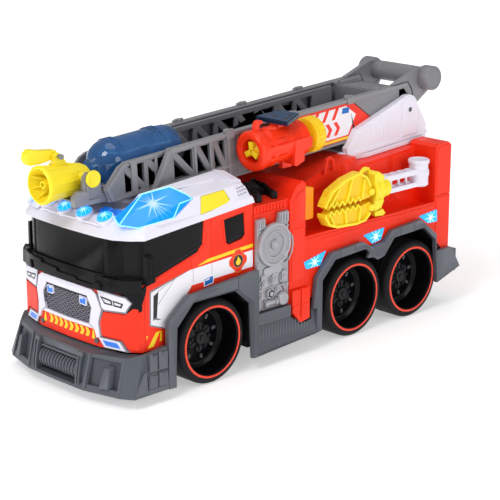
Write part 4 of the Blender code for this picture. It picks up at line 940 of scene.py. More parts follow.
# ---- pump panel and rear body ---------------------------------------------------------------
def pump_panel():
    """Silver pump fittings: tabs, stepped reel, crank, valves and knobs, on both flanks."""
    x = 63.9
    parts = []
    for y0, y1, z0, z1 in ((-44.8, -38, 100.6, 107), (-24.4, -15.2, 101.8, 108.8)):
        parts.append(box((x - 1, y0, z0), (x + 0.9, y1, z1)))
        for i in range(3):
            y = y0 + (y1 - y0) * (0.2 + 0.3 * i)
            parts.append(box((x, y - 0.5, z0 + 0.8), (x + 1.8, y + 0.5, z1 - 0.8)))
    parts.append(prism([(-39.6, 66.8), (-39.6, 71.6), (-36.6, 72.4), (-24, 72.8), (-22.6, 71.8),
                        (-22.6, 67.2)],
                       (x - 0.5, x + 1.4), "X"))
    parts.append(box((x, -37.4, 64.8), (x + 1.1, -35.6, 67.6)))
    parts.append(box((x, -26.4, 64.8), (x + 1.1, -24.6, 67.6)))
    for y, z, r, h in ((-39.5, 61.2, 3.1, 2.2), (-29.6, 61.6, 3.1, 2.2), (-20.2, 62.2, 3.1, 2.2),
                       (-33.5, 53, 3.2, 2.4), (-42, 52, 1.6, 1.4), (-26, 54.2, 1.5, 1.4)):
        parts.append(rod((x + h / 2, y, z), r, h, "X", 6))
        parts.append(rod((x + h / 2 + 0.3, y, z), r * 0.55, h + 0.5, "X", 20))
        parts.append(rod((x + 0.3, y, z), r + 0.9, 0.8, "X", 28))
    for y, z in ((-43.4, 98.6), (-16.2, 98.8), (-43.6, 43.2), (-43.6, 76.4), (-16, 56)):
        parts.append(rod((x + 0.4, y, z), 1.1, 1, "X", 6))
    parts.append(lathe([(3.2, -0.5), (5.2, -0.5), (5.2, 1.6), (4.6, 2.2), (3.6, 2.2), (3.2, 1.6)],
                       (1, 0, 0),
                       (x, -21.4, 47.2), 32))
    parts.append(rod((x + 1.2, -21.4, 47.2), 2.4, 3.2, "X", 24, top=1.9))
    parts.append(rod((x + 0.4, -32.8, 46.4), 2.2, 8.6, "Y", 20))
    parts.append(rod((x + 0.6, -38, 46.2), 2.9, 2.2, "Y", 6))
    parts.append(rod((x + 0.6, -28.4, 46.4), 2.9, 1.8, "Y", 20))
    parts.append(box((x - 0.5, -44.8, 56.6), (x + 0.7, -14.8, 57.4)))
    parts.append(box((x - 0.5, -44.8, 66.2), (x + 0.5, -14.8, 66.8)))
    parts.append(tube([(x + 1.2, -16.6, 92.4), (x + 1.9, -14.4, 92.8), (x + 2.3, -13, 90),
                       (x + 2.3, -12.6, 85), (x + 2.2, -13.8, 79.6), (x + 1.8, -16.4, 74.6),
                       (x + 0.6, -18.6, 72.8)],
                      0.75))
    parts.append(box((x, -17.4, 90.8), (x + 2, -14.6, 94.4)))
    show(both(parts), "pump_fittings", SILVER, bevel=0.25)
    profile = [(0, 1.38), (1.9, 1.38), (2.2, 0.9), (3.4, 0.7), (3.8, -0.5), (8.4, -0.5), (8.8, 0.4),
               (9.8, 0.5)]
    profile += [(10.2, 0.1), (13, 0.1), (13.5, 0.9), (15, 0.9), (15.5, 0.4), (15.5, -1.6), (0, -1.6)]
    for side, sign in (("left", 1), ("right", -1)):
        reel = lathe(profile, (sign, 0, 0), (sign * 66, -30, 88), 72)
        show(reel, f"{side}_reel_face", SILVER, "body", f"{side}_hose_reel", angle=28)


def rear_body():
    """The red rear shell: ribbed recess walls, slots, panels, vent strip, hook and corner caps."""
    shell = cad_copy("rear_body", "rear_shell")
    back = 43
    for sign in (1, -1):
        for i in range(3):
            y = 128 + i * 2.6
            x = sorted((sign * (back - 1.2), sign * (back + 1)))
            cut(shell, box((x[0], y, 97), (x[1], y + 0.9, 108.5)))
        x = span(sign, 61.9, 64)
        cut(shell, box((x[0], -3.8, 28), (x[1] + 3, -2.9, 50)))
        cut(shell, box((x[0], -14, 49.6), (x[1] + 3, 3, 50.1)))
        cut(shell, box((x[0], 144.6, 90.4), (x[1], 166, 90.9)))
    show(shell, "rear_shell", RED, "body", "rear_body", bevel=0.5)
    parts = []
    for i in range(15):
        y = 84 + i * 2.6
        parts.append(box((back - 0.5, y, 90.6), (back + 0.7, y + 1.1, 101.8)))
    parts.append(box((back - 0.5, 78, 88.4), (back + 1.4, 126, 89.8)))
    parts.append(box((back - 0.5, 78, 102.8), (back + 1.2, 126, 103.8)))
    parts.append(prism([(26, 112), (26, 118.6), (60, 126.4), (60, 113)], (back - 0.5, back + 0.8), "X"))
    parts.append(prism([(86, 108), (86, 121.4), (112, 122.6), (112, 108)], (back - 0.5, back + 0.8),
                       "X"))
    parts.append(prism([(118, 112), (118, 123.2), (143, 124.8), (143, 112)], (back - 0.5, back + 0.9),
                       "X"))
    parts.append(hull([(back - 0.5, 62, 104), (back + 5.5, 66.5, 104), (back + 5.5, 70, 104),
                       (back - 0.5, 74, 104),
                       (back - 0.5, 64, 127), (back + 1.5, 67, 126), (back + 1.5, 70, 126),
                       (back - 0.5, 72, 127)]))
    parts.append(box((back - 0.5, 74.8, 84.6), (back + 7, 79.6, 93.8)))
    parts.append(prism([(0.6, 84.8), (0.6, 86.4), (145.6, 86.4), (145.6, 84.8)], (60.9, 63.3), "X"))
    for y, z, w, h in ((22, 79.6, 38, 2.6), (98, 81.6, 34, 1.8)):
        parts.append(box((62.4, y, z), (63.35, y + w, z + h)))
    parts.append(hull([(62.6, -11.4, 112), (63.4, -9.4, 114), (63.4, -4, 119.6), (63.4, 1.6, 121),
                       (62.6, 2.8, 118),
                       (62.6, -11.4, 100), (63.4, -9.6, 98.6), (63.4, 1.4, 98.6), (62.6, 2.8, 98)]))
    parts.append(box((62.6, -10.4, 56), (63.4, 1.6, 94)))
    parts.append(prism([(147.6, 92.6), (147.6, 126), (150.4, 129.2), (160, 129.6), (162.6, 127.4),
                        (162.6, 92.6)],
                       (62.4, 63.5), "X"))
    parts.append(box((62.4, 147.6, 49.6), (63.5, 162.6, 89)))
    parts.append(box((61.2, -11.6, 36.2), (66.6, -4.6, 38.6)))
    parts.append(box((61.2, -2.2, 36.2), (66.6, 4.9, 38.6)))
    for i in range(9):
        y = -43 + i * 3.2
        parts.append(box((59.9, y, 111.4), (61.9, y + 1.5, 115.8)))
    parts.append(box((59.6, -45, 110.2), (62, -14.4, 111.2)))
    parts.append(box((59.6, -45, 116), (61.8, -14.4, 117)))
    show(both(parts), "rear_panels", RED, bevel=0.35)
    hook = tube([(45.2, 41.6, 122.4), (45.2, 42.4, 129.6), (45.2, 44, 133), (45.2, 46.6, 133.6),
                 (45.2, 49.2, 132),
                 (45.2, 50.6, 124)], 1.5, sides=16)
    show(both(hook), "deck_hooks", RED)
    hinges = []
    for y in (18, 46, 104, 132):
        hinges.append(rod((42.2, y,
                           119.6 + max(y - 78, 0) * 0.06 + (0 if y > 78 else (y - 15) * 0.14)), 1.3, 7,
                           "Y", 20))
    show(both(hinges), "deck_hinges", RED, bevel=0.3)
    lamps = [
        [(1.9, 67.8), (24.5, 72.1), (18.5, 62.2), (4, 62.2)],
        [(64.6, 75.6), (87.6, 77.4), (84, 68.6), (74.6, 67.2)],
        [(127.3, 78.5), (148.6, 80.1), (149.1, 70.5), (138.3, 70.9)],
    ]
    for number, outline in enumerate(lamps, 1):
        middle = (sum(p[0] for p in outline) / 4, sum(p[1] for p in outline) / 4)
        material = lens(f"Side lamp {number}", (0.02, 0.4, 0.9), (0, 0.4, 0.95), 1,
                        centre=(63.9, *middle), size=8.5, rays=8)
        lamp = both(prism(outline, (62.4, 63.95), "X"))
        show(lamp, f"side_lamps_{number}", material, bevel=0.8, segments=3)


def tail():
    """Rear face: roller shutter, tail lamps, grab rails and step treads."""
    parts = [box((-52, 163.4, 52), (52, 165, 54)), box((-52, 163.4, 112), (52, 165, 114))]
    for i in range(14):
        z = 55.6 + i * 4.1
        parts.append(box((-38, 163.4, z), (38, 164.7, z + 2.9)))
    for sign in (1, -1):
        x = span(sign, 39.4, 41.6)
        parts.append(box((x[0], 163.4, 54), (x[1], 165.2, 112)))
    show(parts, "rear_shutter", RED, bevel=0.4)
    rails = []
    for sign in (1, -1):
        rails.append(tube([(sign * 47, 163.2, 62), (sign * 47, 167.4, 63), (sign * 47, 167.8, 66),
                           (sign * 47, 167.8, 100), (sign * 47, 167.4, 103), (sign * 47, 163.2, 104)],
                           1.1))
    show(rails, "rear_grab_rails", SILVER)
    lamps, bezels = [], []
    for sign in (1, -1):
        for z in (56.6, 66.4):
            bezels.append(lathe([(0, -1), (4.2, -1), (4.2, 0.9), (3.6, 1.3), (0, 1.3)], "Y",
                                (sign * 56.4, 163.9, z), 32))
            lamps.append(lathe([(0, 0), (3.2, 0), (3.2, 1.4), (2.4, 2.2), (0, 2.5)], "Y",
                               (sign * 56.4, 164.2, z), 32))
    show(bezels, "tail_lamp_bezels", SILVER, angle=30)
    show(lamps, "tail_lamps", TAIL_LAMP, angle=40)
    treads = [box((-46 + i * 4, 170.4, 35.6), (-44.4 + i * 4, 173.8, 36.6)) for i in range(24)]
    show(treads, "rear_step_treads", FENDER_GREY, bevel=0.25, segments=1)


GRILLE = plastic("Grille grey", "dark_grey", (0.17, 0.16, 0.2), 0.4)
# The headlights, grille lamps and fog lights are moulded and printed with no lamp inside, so their glow
# is painted light.
HEADLIGHT = lens("Headlight", (0.8, 0.8, 0.85), (0.8, 0.8, 0.9), 0.25, clear=0.2)
BLUE_LAMP = lens("Blue lamp", (0.01, 0.16, 0.6), (0, 0.12, 0.55), 0.45, clear=0.2)
TAIL_LAMP = lens("Tail lamp", (0.75, 0.05, 0.02), (0.5, 0.01, 0), 0.3, clear=0.3)


# ---- roof -----------------------------------------------------------------------------------
def roof():
    """White roof: rounded lip, stepped shoulders, vent, panel seams; round lamps and lens row."""
    shell = cad_copy("cab_roof", "roof_shell")
    for sign in (1, -1):
        x = span(sign, 33, 57)
        lean = Matrix.Translation((0, -60, 134)) @ Matrix.Rotation(math.radians(3.2), 4, "X")
        for y in (0, 6.2):
            slot = box((x[0], y - 0.25, 2.2), (x[1], y + 0.25, 12))
            cut(shell, shift(slot, lean))
    show(shell, "roof_shell", WHITE, "body", "cab_roof", bevel=0.9, angle=22)
    parts = []
    for x0, x1 in ((-57, -36.5),):
        parts.append(hull([(x0, -147.2, 118.2), (x0 + 3, -152, 117.4), (x1, -156.2, 117.2),
                           (x1 + 3.5, -152.6, 120.6),
                           (x1 + 2.5, -149.5, 123.4), (x0 + 8, -146.6, 122.8),
                           (x0 + 2, -143.8, 120.2)]))
    parts.append(box((-31, -156.6, 118), (31, -155.8, 119.3)))
    vents = []
    for sign in (1, -1):
        top = [
            (sign * 34, -58.8, 135), (sign * 34, -58.8, 140.8), (sign * 51, -58, 136.2),
            (sign * 51, -58, 131),
            (sign * 34, -47.2, 135), (sign * 34, -48.2, 138.4), (sign * 50.4, -47.8, 134.2),
            (sign * 51, -47.2, 131),
        ]
        parts.append(hull(top))
        side = [
            (sign * 53.6, -59.4, 133.2), (sign * 57.4, -60.2, 124.2), (sign * 57.2, -50, 125.6),
            (sign * 53.2, -50, 133.4),
            (sign * 55.2, -59.2, 133), (sign * 59.2, -60, 124.4), (sign * 58.8, -50.2, 125.8),
            (sign * 54.8, -50.2, 132.8),
        ]
        parts.append(hull(side))
        ridge = [
            (sign * 36, -118, 134.6), (sign * 38.6, -118, 134.4), (sign * 36, -116, 136.4),
            (sign * 38.4, -116, 136.2),
            (sign * 36, -66, 138.9), (sign * 44, -66, 137.2), (sign * 36, -66, 136),
            (sign * 44, -66, 135),
            (sign * 42.6, -97, 135.4), (sign * 36, -97, 137.7),
        ]
        parts.append(hull(ridge))
        for row in range(3):
            for column in range(4):
                y = -57.4 + column * 2.2
                z = 126.6 + row * 2.2
                vents.append(rod((sign * (58.6 - row * 0.98), y, z + column * 0.3), 0.42, 1, "X", 10))
    show(parts, "roof_mouldings", WHITE, bevel=0.6, angle=22)
    show(vents, "roof_vent_dots", PRINT_GREY, bevel=0.1, segments=1)

    seats = []
    for number, x in enumerate((-30, -10, 10, 30), 1):
        y = -150.6 if abs(x) > 20 else -151.8
        tip = Matrix.Translation((x, y, 122.6)) @ Matrix.Rotation(math.radians(24), 4, "X")
        seats.append(shift(lathe([(5.4, -3), (6.1, -3), (6.1, 0.4), (5.4, 0.6)], steps=40), tip))
        segments = []
        for i in range(8):
            a, b = math.radians(45 * i + 4), math.radians(45 * i + 41)
            corners = []
            for r, h in ((1.7, 0.2), (5.3, 0.2), (5.6, 1), (4.6, 2.4), (1.7, 2.8)):
                corners += [(r * math.cos(t), r * math.sin(t), h) for t in (a, (a + b) / 2, b)]
            segments.append(hull(corners))
        segments.append(lathe([(0, 0), (1.6, 0), (1.5, 3), (0.8, 3.4), (0, 3.5)], steps=24))
        segments = [shift(segment, tip) for segment in segments]
        centre = tip @ Vector((0, 0, 2.2))
        material = lens(f"Roof lamp {number}", (0.01, 0.24, 0.8), (0, 0.3, 0.9), 1,
                        centre=centre, size=6.4, facing="Z", rays=10)
        stands = "roof_lamps" if number == 1 else ()
        show(segments, f"roof_lamp_{number}", material, "body", stands, bevel=0.25)
    show(seats, "roof_lamp_seats", WHITE, angle=40)
    wedges = []
    for sign in (1, -1):
        for x0, x1, y0 in ((14.6, 24, -147.4), (24.8, 33.4, -146.2)):
            wedges.append(hull([
                (sign * x0, y0 + 3.2, 122.4), (sign * x1, y0 + 3.8, 122.4),
                (sign * (x1 + 1), y0 + 9.8, 122.6),
                (sign * (x0 + 1), y0 + 9, 122.6), (sign * (x0 + 1), y0 + 4.4, 124.8),
                (sign * (x1 - 0.6), y0 + 5, 125),
                (sign * (x1 - 0.2), y0 + 8.6, 126.2), (sign * (x0 + 2), y0 + 8, 126),
            ]))
    show(wedges, "roof_lens_row", BLUE_LAMP, bevel=0.4)

    left = Vector((47.5, -124, 131))
    for side, sign in (("left", 1), ("right", -1)):
        shell = cad_copy(f"{side}_beacon", f"{side}_beacon_lens")
        material = lens(f"{side} beacon lens".capitalize(), (0, 0.24, 0.7),
                        (0, 0.28, 0.78), 0.6, clear=0.35,
                        centre=(sign * left.x, left.y, left.z), size=15, facing="X", rays=14)
        show(shell, f"{side}_beacon_lens", material, "body", f"{side}_beacon", bevel=0.9, segments=2,
             angle=12)
        edge = [(35.2, -147.6, 123.8), (48.2, -153.8, 121.7), (55.7, -143.9, 119.4),
                (59, -116.6, 121.7), (55.2, -107.9, 129.3)]
        ridge = [(48.2, -153.8, 121.7), (36.4, -124.4, 135.1)]
        top = [(36.4, -124.4, 135.1), (43.2, -106, 138.2), (51, -98.7, 133.3), (55.4, -97.2, 130.5),
               (55.2, -107.9, 129.3)]
        # Thin tubes on the beacon's ridges carry its painted edge highlights.
        lines = [tube(mirrored(sign, path), 0.38) for path in (edge, ridge, top)]
        show(lines, f"{side}_beacon_edge_highlights", BEACON_EDGE_HIGHLIGHT, angle=60)
    show(cad_copy("sound_button", "button_cap"), "button_cap", YELLOW, "button", "sound_button",
         bevel=0.8, segments=3, angle=30)


# ---- ladder ---------------------------------------------------------------------------------
LADDER = Matrix.Translation((0, 147.5, 154)) @ Matrix.Rotation(LADDER_LEAN, 4, "X")


def on_ladder(obj):
    """Moves a solid made in ladder coordinates (x, along to the rear, above the pin) into place."""
    return shift(obj, LADDER)


def rail_box(y0, y1, n0, n1, x0, x1):
    return box((x0, y0, n0), (x1, y1, n1))


def ladder_outer():
    """Outer ladder: rails with lips, posts, clips, the bridge plate and the side sticker."""
    base = cad_copy("ladder_base", "ladder_frame")
    cut(base, on_ladder(hull([(x, y, n) for x in (-22.4, 22.4) for y,
                              n in ((-25, 17), (-25, 30), (14, 13), (14, 30))])))
    show(base, "ladder_frame", LADDER_GREY, "ladder", "ladder_base", bevel=0.35)
    parts = []
    for y0, y1, n0, n1, x0, x1 in (
        (-238, 4, 16.9, 19.45, 26.4, 28.3),
        (-238, -24, 18.2, 19.4, 22.6, 25),
        (-180, -20, -13.2, -11.6, 26.4, 28),
        (-249, -182, -5.2, -3.4, 26.4, 27.9),
        (-185.6, -183.2, -12, 17.4, 26.4, 28),
        (-202.4, -200.6, -5, 17.4, 26.4, 27.8),
        (-216.6, -214.6, -5, 17.4, 26.4, 27.8),
    ):
        parts.append(rail_box(y0, y1, n0, n1, x0, x1))
    for y in (-183.2, -120, -60):
        parts.append(rail_box(y - 3.6, y + 3.6, 15.6, 20.6, 25.4, 28.9))
        parts.append(rail_box(y - 2, y + 2, 18, 21.6, 23.2, 27.6))
        parts.append(rod((26.2, y, 20.6), 1.1, 8.4, "Y", 16))
    for y in (-176, -142):
        parts.append(rail_box(y, y + 1.2, -12, 17, 26.4, 27.5))
    parts.append(prism([(-254, -5.3), (-239.4, 18.6), (-236.4, 18.6), (-251.4, -5.3)], (26.4, 28), "X"))
    parts.append(prism([(-4, -8), (-4, 15.6), (2, 15.6), (6, 10.4), (6, -6)], (26.6, 27), "X"))
    side = on_ladder(both(parts))
    show(side, "ladder_rails", LADDER_GREY, "ladder", bevel=0.3)
    bridge = [rail_box(-24, 3.6, 10, 13.4, -22.6, 22.6)]
    for i in range(8):
        y = -21.6 + i * 3
        bridge.append(hull([
            (-15.5, y, 13), (15.5, y, 13), (-17, y + 1.7, 13), (17, y + 1.7, 13),
            (-16, y + 0.4, 17.6 - i * 0.3), (16, y + 0.4, 17.6 - i * 0.3),
            (-16.4, y + 1.4, 17.6 - i * 0.3), (16.4, y + 1.4, 17.6 - i * 0.3),
        ]))
    for sign in (1, -1):
        x = span(sign, 19.4, 23.6)
        bridge.append(rail_box(-23, 5, 12, 18.6, *x))
        bridge.append(rod((sign * 21.4, -22.2, 18), 2.4, 4.6, "X", 24))
    show(on_ladder(gather(bridge, "bridge")), "ladder_bridge", LADDER_GREY, "ladder", bevel=0.4)
    rungs = []
    for i in range(10):
        y = -178 + i * 15
        rungs.append(rail_box(y, y + 3, -12.9, -11.1, -24.8, 24.8))
        rungs.append(rod((0, y + 1.5, -10.9), 0.8, 49, "X", 14))
    show(on_ladder(gather(rungs, "rungs")), "ladder_rungs", LADDER_GREY, "ladder", bevel=0.25)

    face = 27.02
    field = [(-124, 16.4), (-56, 16.4), (-36.6, 1), (-52.6, -11), (-124, -11)]
    white = [(-124, 14.6), (-64, 14.6), (-53.4, 6.4), (-62.6, -7.6), (-124, -7.6)]
    sticker = [("sticker_field", PRINT_RED, [field], 0.1),
               ("sticker_white", PRINT_WHITE, [white], 0.16)]
    bars = [[(y, 6.6), (y + 3.6, 6.6), (y + 8.4, 14.6), (y + 4.8, 14.6)] for y in (-122, -111.5, -101,
                                                                                   -90.5, -80)]
    sticker.append(("sticker_bars", PRINT_RED, bars, 0.22))
    chevrons = []
    for i in range(6):
        y = -121 + i * 8.6
        chevrons.append([(y, -5.4), (y + 3.6, -5.4), (y + 7, -0.4), (y + 3.6, 4.6), (y, 4.6),
                         (y + 3.4, -0.4)])
    sticker.append(("sticker_chevrons", PRINT_RED, chevrons, 0.22))
    under = [(-124, -10.4), (-60, -10.4), (-61.6, -8.6), (-124, -8.6)]
    sticker.append(("sticker_stripe", PRINT_YELLOW, [under], 0.2))
    blue = [[(-68.8, 9.4), (-61.2, 9), (-60.6, 13.2), (-67.6, 13.6)]]
    sticker.append(("sticker_lamp", PRINT_BLUE, blue, 0.24))
    edge = [stroke([(-56.4, 16.2), (-37.4, 1), (-52.8, -10.6)], 0.7),
            [(-58.6, 8.4), (-57.2, -3.4), (-60.4, -9.6), (-57.8, -9.6), (-55.2, -3.8)]]
    sticker.append(("sticker_edge", PRINT_BLACK, edge, 0.26))
    for name, material, outlines, out in sticker:
        pieces = [prism(outline, (face - 0.3, face + out), "X") for outline in outlines]
        show(on_ladder(both(pieces)), name, material, "ladder")


def handle():
    """The carry grip: ribbed bar with seams between end caps, on webbed arms."""
    grip = [(0, -23.6), (7.3, -23.6)]
    for x in (-14.5, 0, 14.5):
        grip += [(7.6, x - 0.5), (7.1, x - 0.35), (7.1, x + 0.35), (7.6, x + 0.5)]
    grip += [(7.3, 23.6), (0, 23.6)]
    y, n = 27.6, 19.5
    bar = lathe(grip, "X", (0, y, n), 56)
    parts = [bar]
    for sign in (1, -1):
        cap = [(0, 23.3), (8.4, 23.3), (8.4, 25.2), (9.2, 25.4), (9.5, 26.4), (9.5, 34.8), (8.8, 35.9),
               (7.4, 36.2)]
        cap += [(7, 35.6), (0, 35.6)]
        parts.append(lathe(cap, (sign, 0, 0), (0, y, n), 56))
        x = span(sign, 23.4, 26.7)
        arm = [(-10.6, 19.9), (19, 27.8), (y, n + 7), (33.8, 13), (29.8, 7.6), (17.8, 1.4),
               (13.3, 3.6), (12.5, 12.5),
               (7.4, 19.9)]
        parts.append(prism(arm, x, "X"))
        rib = span(sign, 22.9, 27)
        parts.append(prism([(-10.4, 19.9), (19, 28.2), (24, 27.2), (18, 25.4), (-6, 19.9)], rib, "X"))
        parts.append(prism([(17.4, 1.6), (30, 8), (32.6, 11.4), (30.4, 11.6), (16, 4)], rib, "X"))
    show(on_ladder(gather(parts, "grip")), "grip", LADDER_GREY, "ladder", "carry_handle", bevel=0.35,
         angle=40)


def ladder_inner():
    """Sliding ladder: rails, struts, rungs and the bracket that carries the nozzle."""
    slide = cad_copy("ladder_extension", "ladder_slide")
    show(slide, "ladder_slide", LADDER_GREY, "sliding_ladder", "ladder_extension", bevel=0.3)
    parts = [rail_box(-270, -32, 15.6, 17.4, 20.8, 22.6), rail_box(-286, -250, -6.9, -5.4, 20.8, 22.4)]
    parts.append(prism([(-286.4, -6.6), (-290.4, 2.6), (-277, 14.8), (-272, 17.2), (-270.6, 15),
                        (-275.6, 12.6),
                        (-287.4, 1.8), (-284, -5.2)], (20.8, 22.9), "X"))
    parts.append(prism([(-268.4, -6), (-268.4, 16), (-263.4, 16), (-263.4, -6)], (20.8, 22.6), "X"))
    parts.append(prism([(-247.4, -6), (-247.4, 16), (-245.2, 16), (-245.2, -6)], (20.8, 22.4), "X"))
    show(on_ladder(both(parts)), "slide_rails", LADDER_GREY, "sliding_ladder", bevel=0.3)
    rungs = [rod((0, -274.2 + i * 18.5, -4.6), 1, 39, "X", 14) for i in range(14)]
    show(on_ladder(gather(rungs, "rungs")), "slide_rungs", LADDER_GREY, "sliding_ladder", bevel=0.1,
         segments=1)
    blocks = []
    for sign in (1, -1):
        x = span(sign, 15.6, 20.4)
        blocks.append(prism([(-167.4, 130.2), (-167.4, 136.4), (-163.8, 139.9), (-157, 139.9),
                             (-156, 133.4), (-146, 133.4),
                             (-146, 130.2)], x, "X"))
        blocks.append(box((x[0] + 0.6, -156.8, 133), (x[1] + 0.1, -155.6, 150.6)))
    blocks.append(box((-15.8, -160, 130.2), (15.8, -152, 131.6)))
    show(blocks, "bracket_blocks", LADDER_GREY, "sliding_ladder", bevel=0.45)


def bottle():
    """Clear blue water bottle: tapered neck, two pairs of raised bands, water inside."""
    r = 15.4
    profile = [(0, 73.8), (5.4, 73.6), (5.8, 70.4), (7.8, 69.2), (11.6, 66.2), (14.2, 62.2), (r, 58.4)]
    for top in (57.2, 53.4):
        profile += [(r + 0.1, top), (r + 0.85, top - 0.6), (r + 0.85, top - 2), (r + 0.1, top - 2.7)]
    profile += [(r, 49), (r, 22.4)]
    for top in (20.8, 17):
        profile += [(r + 0.1, top), (r + 0.85, top - 0.6), (r + 0.85, top - 2), (r + 0.1, top - 2.7)]
    profile += [(r, 11.6), (r - 0.2, 6), (r - 1.6, 1.8), (r - 4, 0.2), (0, 0.2)]
    seat = Matrix.Translation((0, -213.5, 13.5)) @ Matrix.Rotation(math.pi / 2, 4, "X")
    shell = shift(lathe(profile, steps=96), seat)
    show(on_ladder(shell), "bottle_shell", BOTTLE, "sliding_ladder", "water_bottle", angle=34)
    water = lathe([(0, 66), (9, 64), (13.2, 58), (13.4, 8), (11, 3.6), (0, 3.2)], steps=64)
    lid = box((-20, -20, -2), (20, 5.5, 80))
    filled = shift(common(water, lid), seat)
    show(on_ladder(filled), "bottle_water", WATER, "sliding_ladder", angle=34)


def nozzle():
    """Flared yellow nozzle with lengthwise and inner ribs, round trunnion caps, pump lever."""
    lower = Matrix.Translation((0, -152, 143.8)) @ Matrix.Rotation(math.pi / 2, 4, "X")
    profile = [(11, 28.6), (12.2, 28.6), (13.1, 27.6), (13.1, 25.6), (12.3, 23), (11.4, 15), (10.5, 8)]
    profile += [(10.3, 2.4), (9.7, 2), (9.7, -5), (8.4, -8.6), (0, -8.6), (0, 14), (4, 14), (9, 21)]
    parts = [shift(lathe(profile, steps=72), lower)]
    spout = [(1.6, 12), (3, 12), (2.8, 25.4), (2.3, 26), (1.6, 25.8)]
    parts.append(shift(lathe(spout, steps=32), lower))
    for i in range(8):
        a = math.radians(45 * i + 20)
        rib = prism([(2.6, 13.5), (9, 20.5), (10.9, 27.2), (10.4, 27.6), (2.6, 17)], (-0.5, 0.5), "Y")
        parts.append(shift(rib, lower @ Matrix.Rotation(a, 4, "Z")))
    for i in range(12):
        a = math.radians(30 * i + 10)
        rib = prism([(9.4, 3), (10.6, 3.4), (12, 19), (12.6, 24), (11.4, 24)], (-0.7, 0.7), "Y")
        parts.append(shift(rib, lower @ Matrix.Rotation(a, 4, "Z")))
    for sign in (1, -1):
        cap = [(0, 18), (2.1, 18), (2.1, 19.6), (5.6, 19.7), (5.8, 20.4), (5.6, 21.6), (4.9, 21.95),
               (4.2, 21.6), (0, 20.9)]
        parts.append(lathe(cap, (sign, 0, 0), (0, -152, 147.2), 48))
        parts.append(lathe([(0, 9), (3.4, 9), (3.4, 16.2), (0, 16.2)], (sign, 0, 0), (0, -152, 147.2),
                           32))
    parts.append(prism([(-167.6, 152), (-167.2, 161.4), (-164, 163.4), (-161, 161.4), (-157.8, 156),
                        (-148, 152)],
                       (-3.6, 0.4), "X"))
    parts.append(prism([(-158, 150), (-156, 155.2), (-146, 153.4), (-143.6, 149)], (-1.4, 1.4), "X"))
    show(parts, "nozzle_body", YELLOW, "nozzle", "water_nozzle", bevel=0.25, angle=36)
    lever = cad_copy("pump_lever", "lever_grip")
    for i in range(4):
        groove = rod((-7.5, -171 - i * 3.4, 168.2 + i * 0.3), 2, 12, "X", 20)
        cut(lever, groove)
    show(lever, "lever_grip", YELLOW, "lever", "pump_lever", bevel=1, segments=3, angle=30)
    pin = [rod((-4, -164, 161), 1.3, 15.2, "X", 24), rod((3.2, -164, 161), 1.9, 1.2, "X", 24)]
    show(pin, "lever_pin", LADDER_GREY, "nozzle", bevel=0.2)


# ---- launcher -------------------------------------------------------------------------------
BARREL = Matrix.Translation((42.5, -32, 150)) @ Matrix.Rotation(LADDER_LEAN, 4,
                                                                "X") @ Matrix.Rotation(math.pi / 2, 4,
                                                                                       "X")


def on_barrel(obj, turn=0):
    """Moves a solid made round the local Z axis, which points out of the muzzle, into place."""
    return shift(obj, BARREL @ Matrix.Rotation(turn, 4, "Z"))


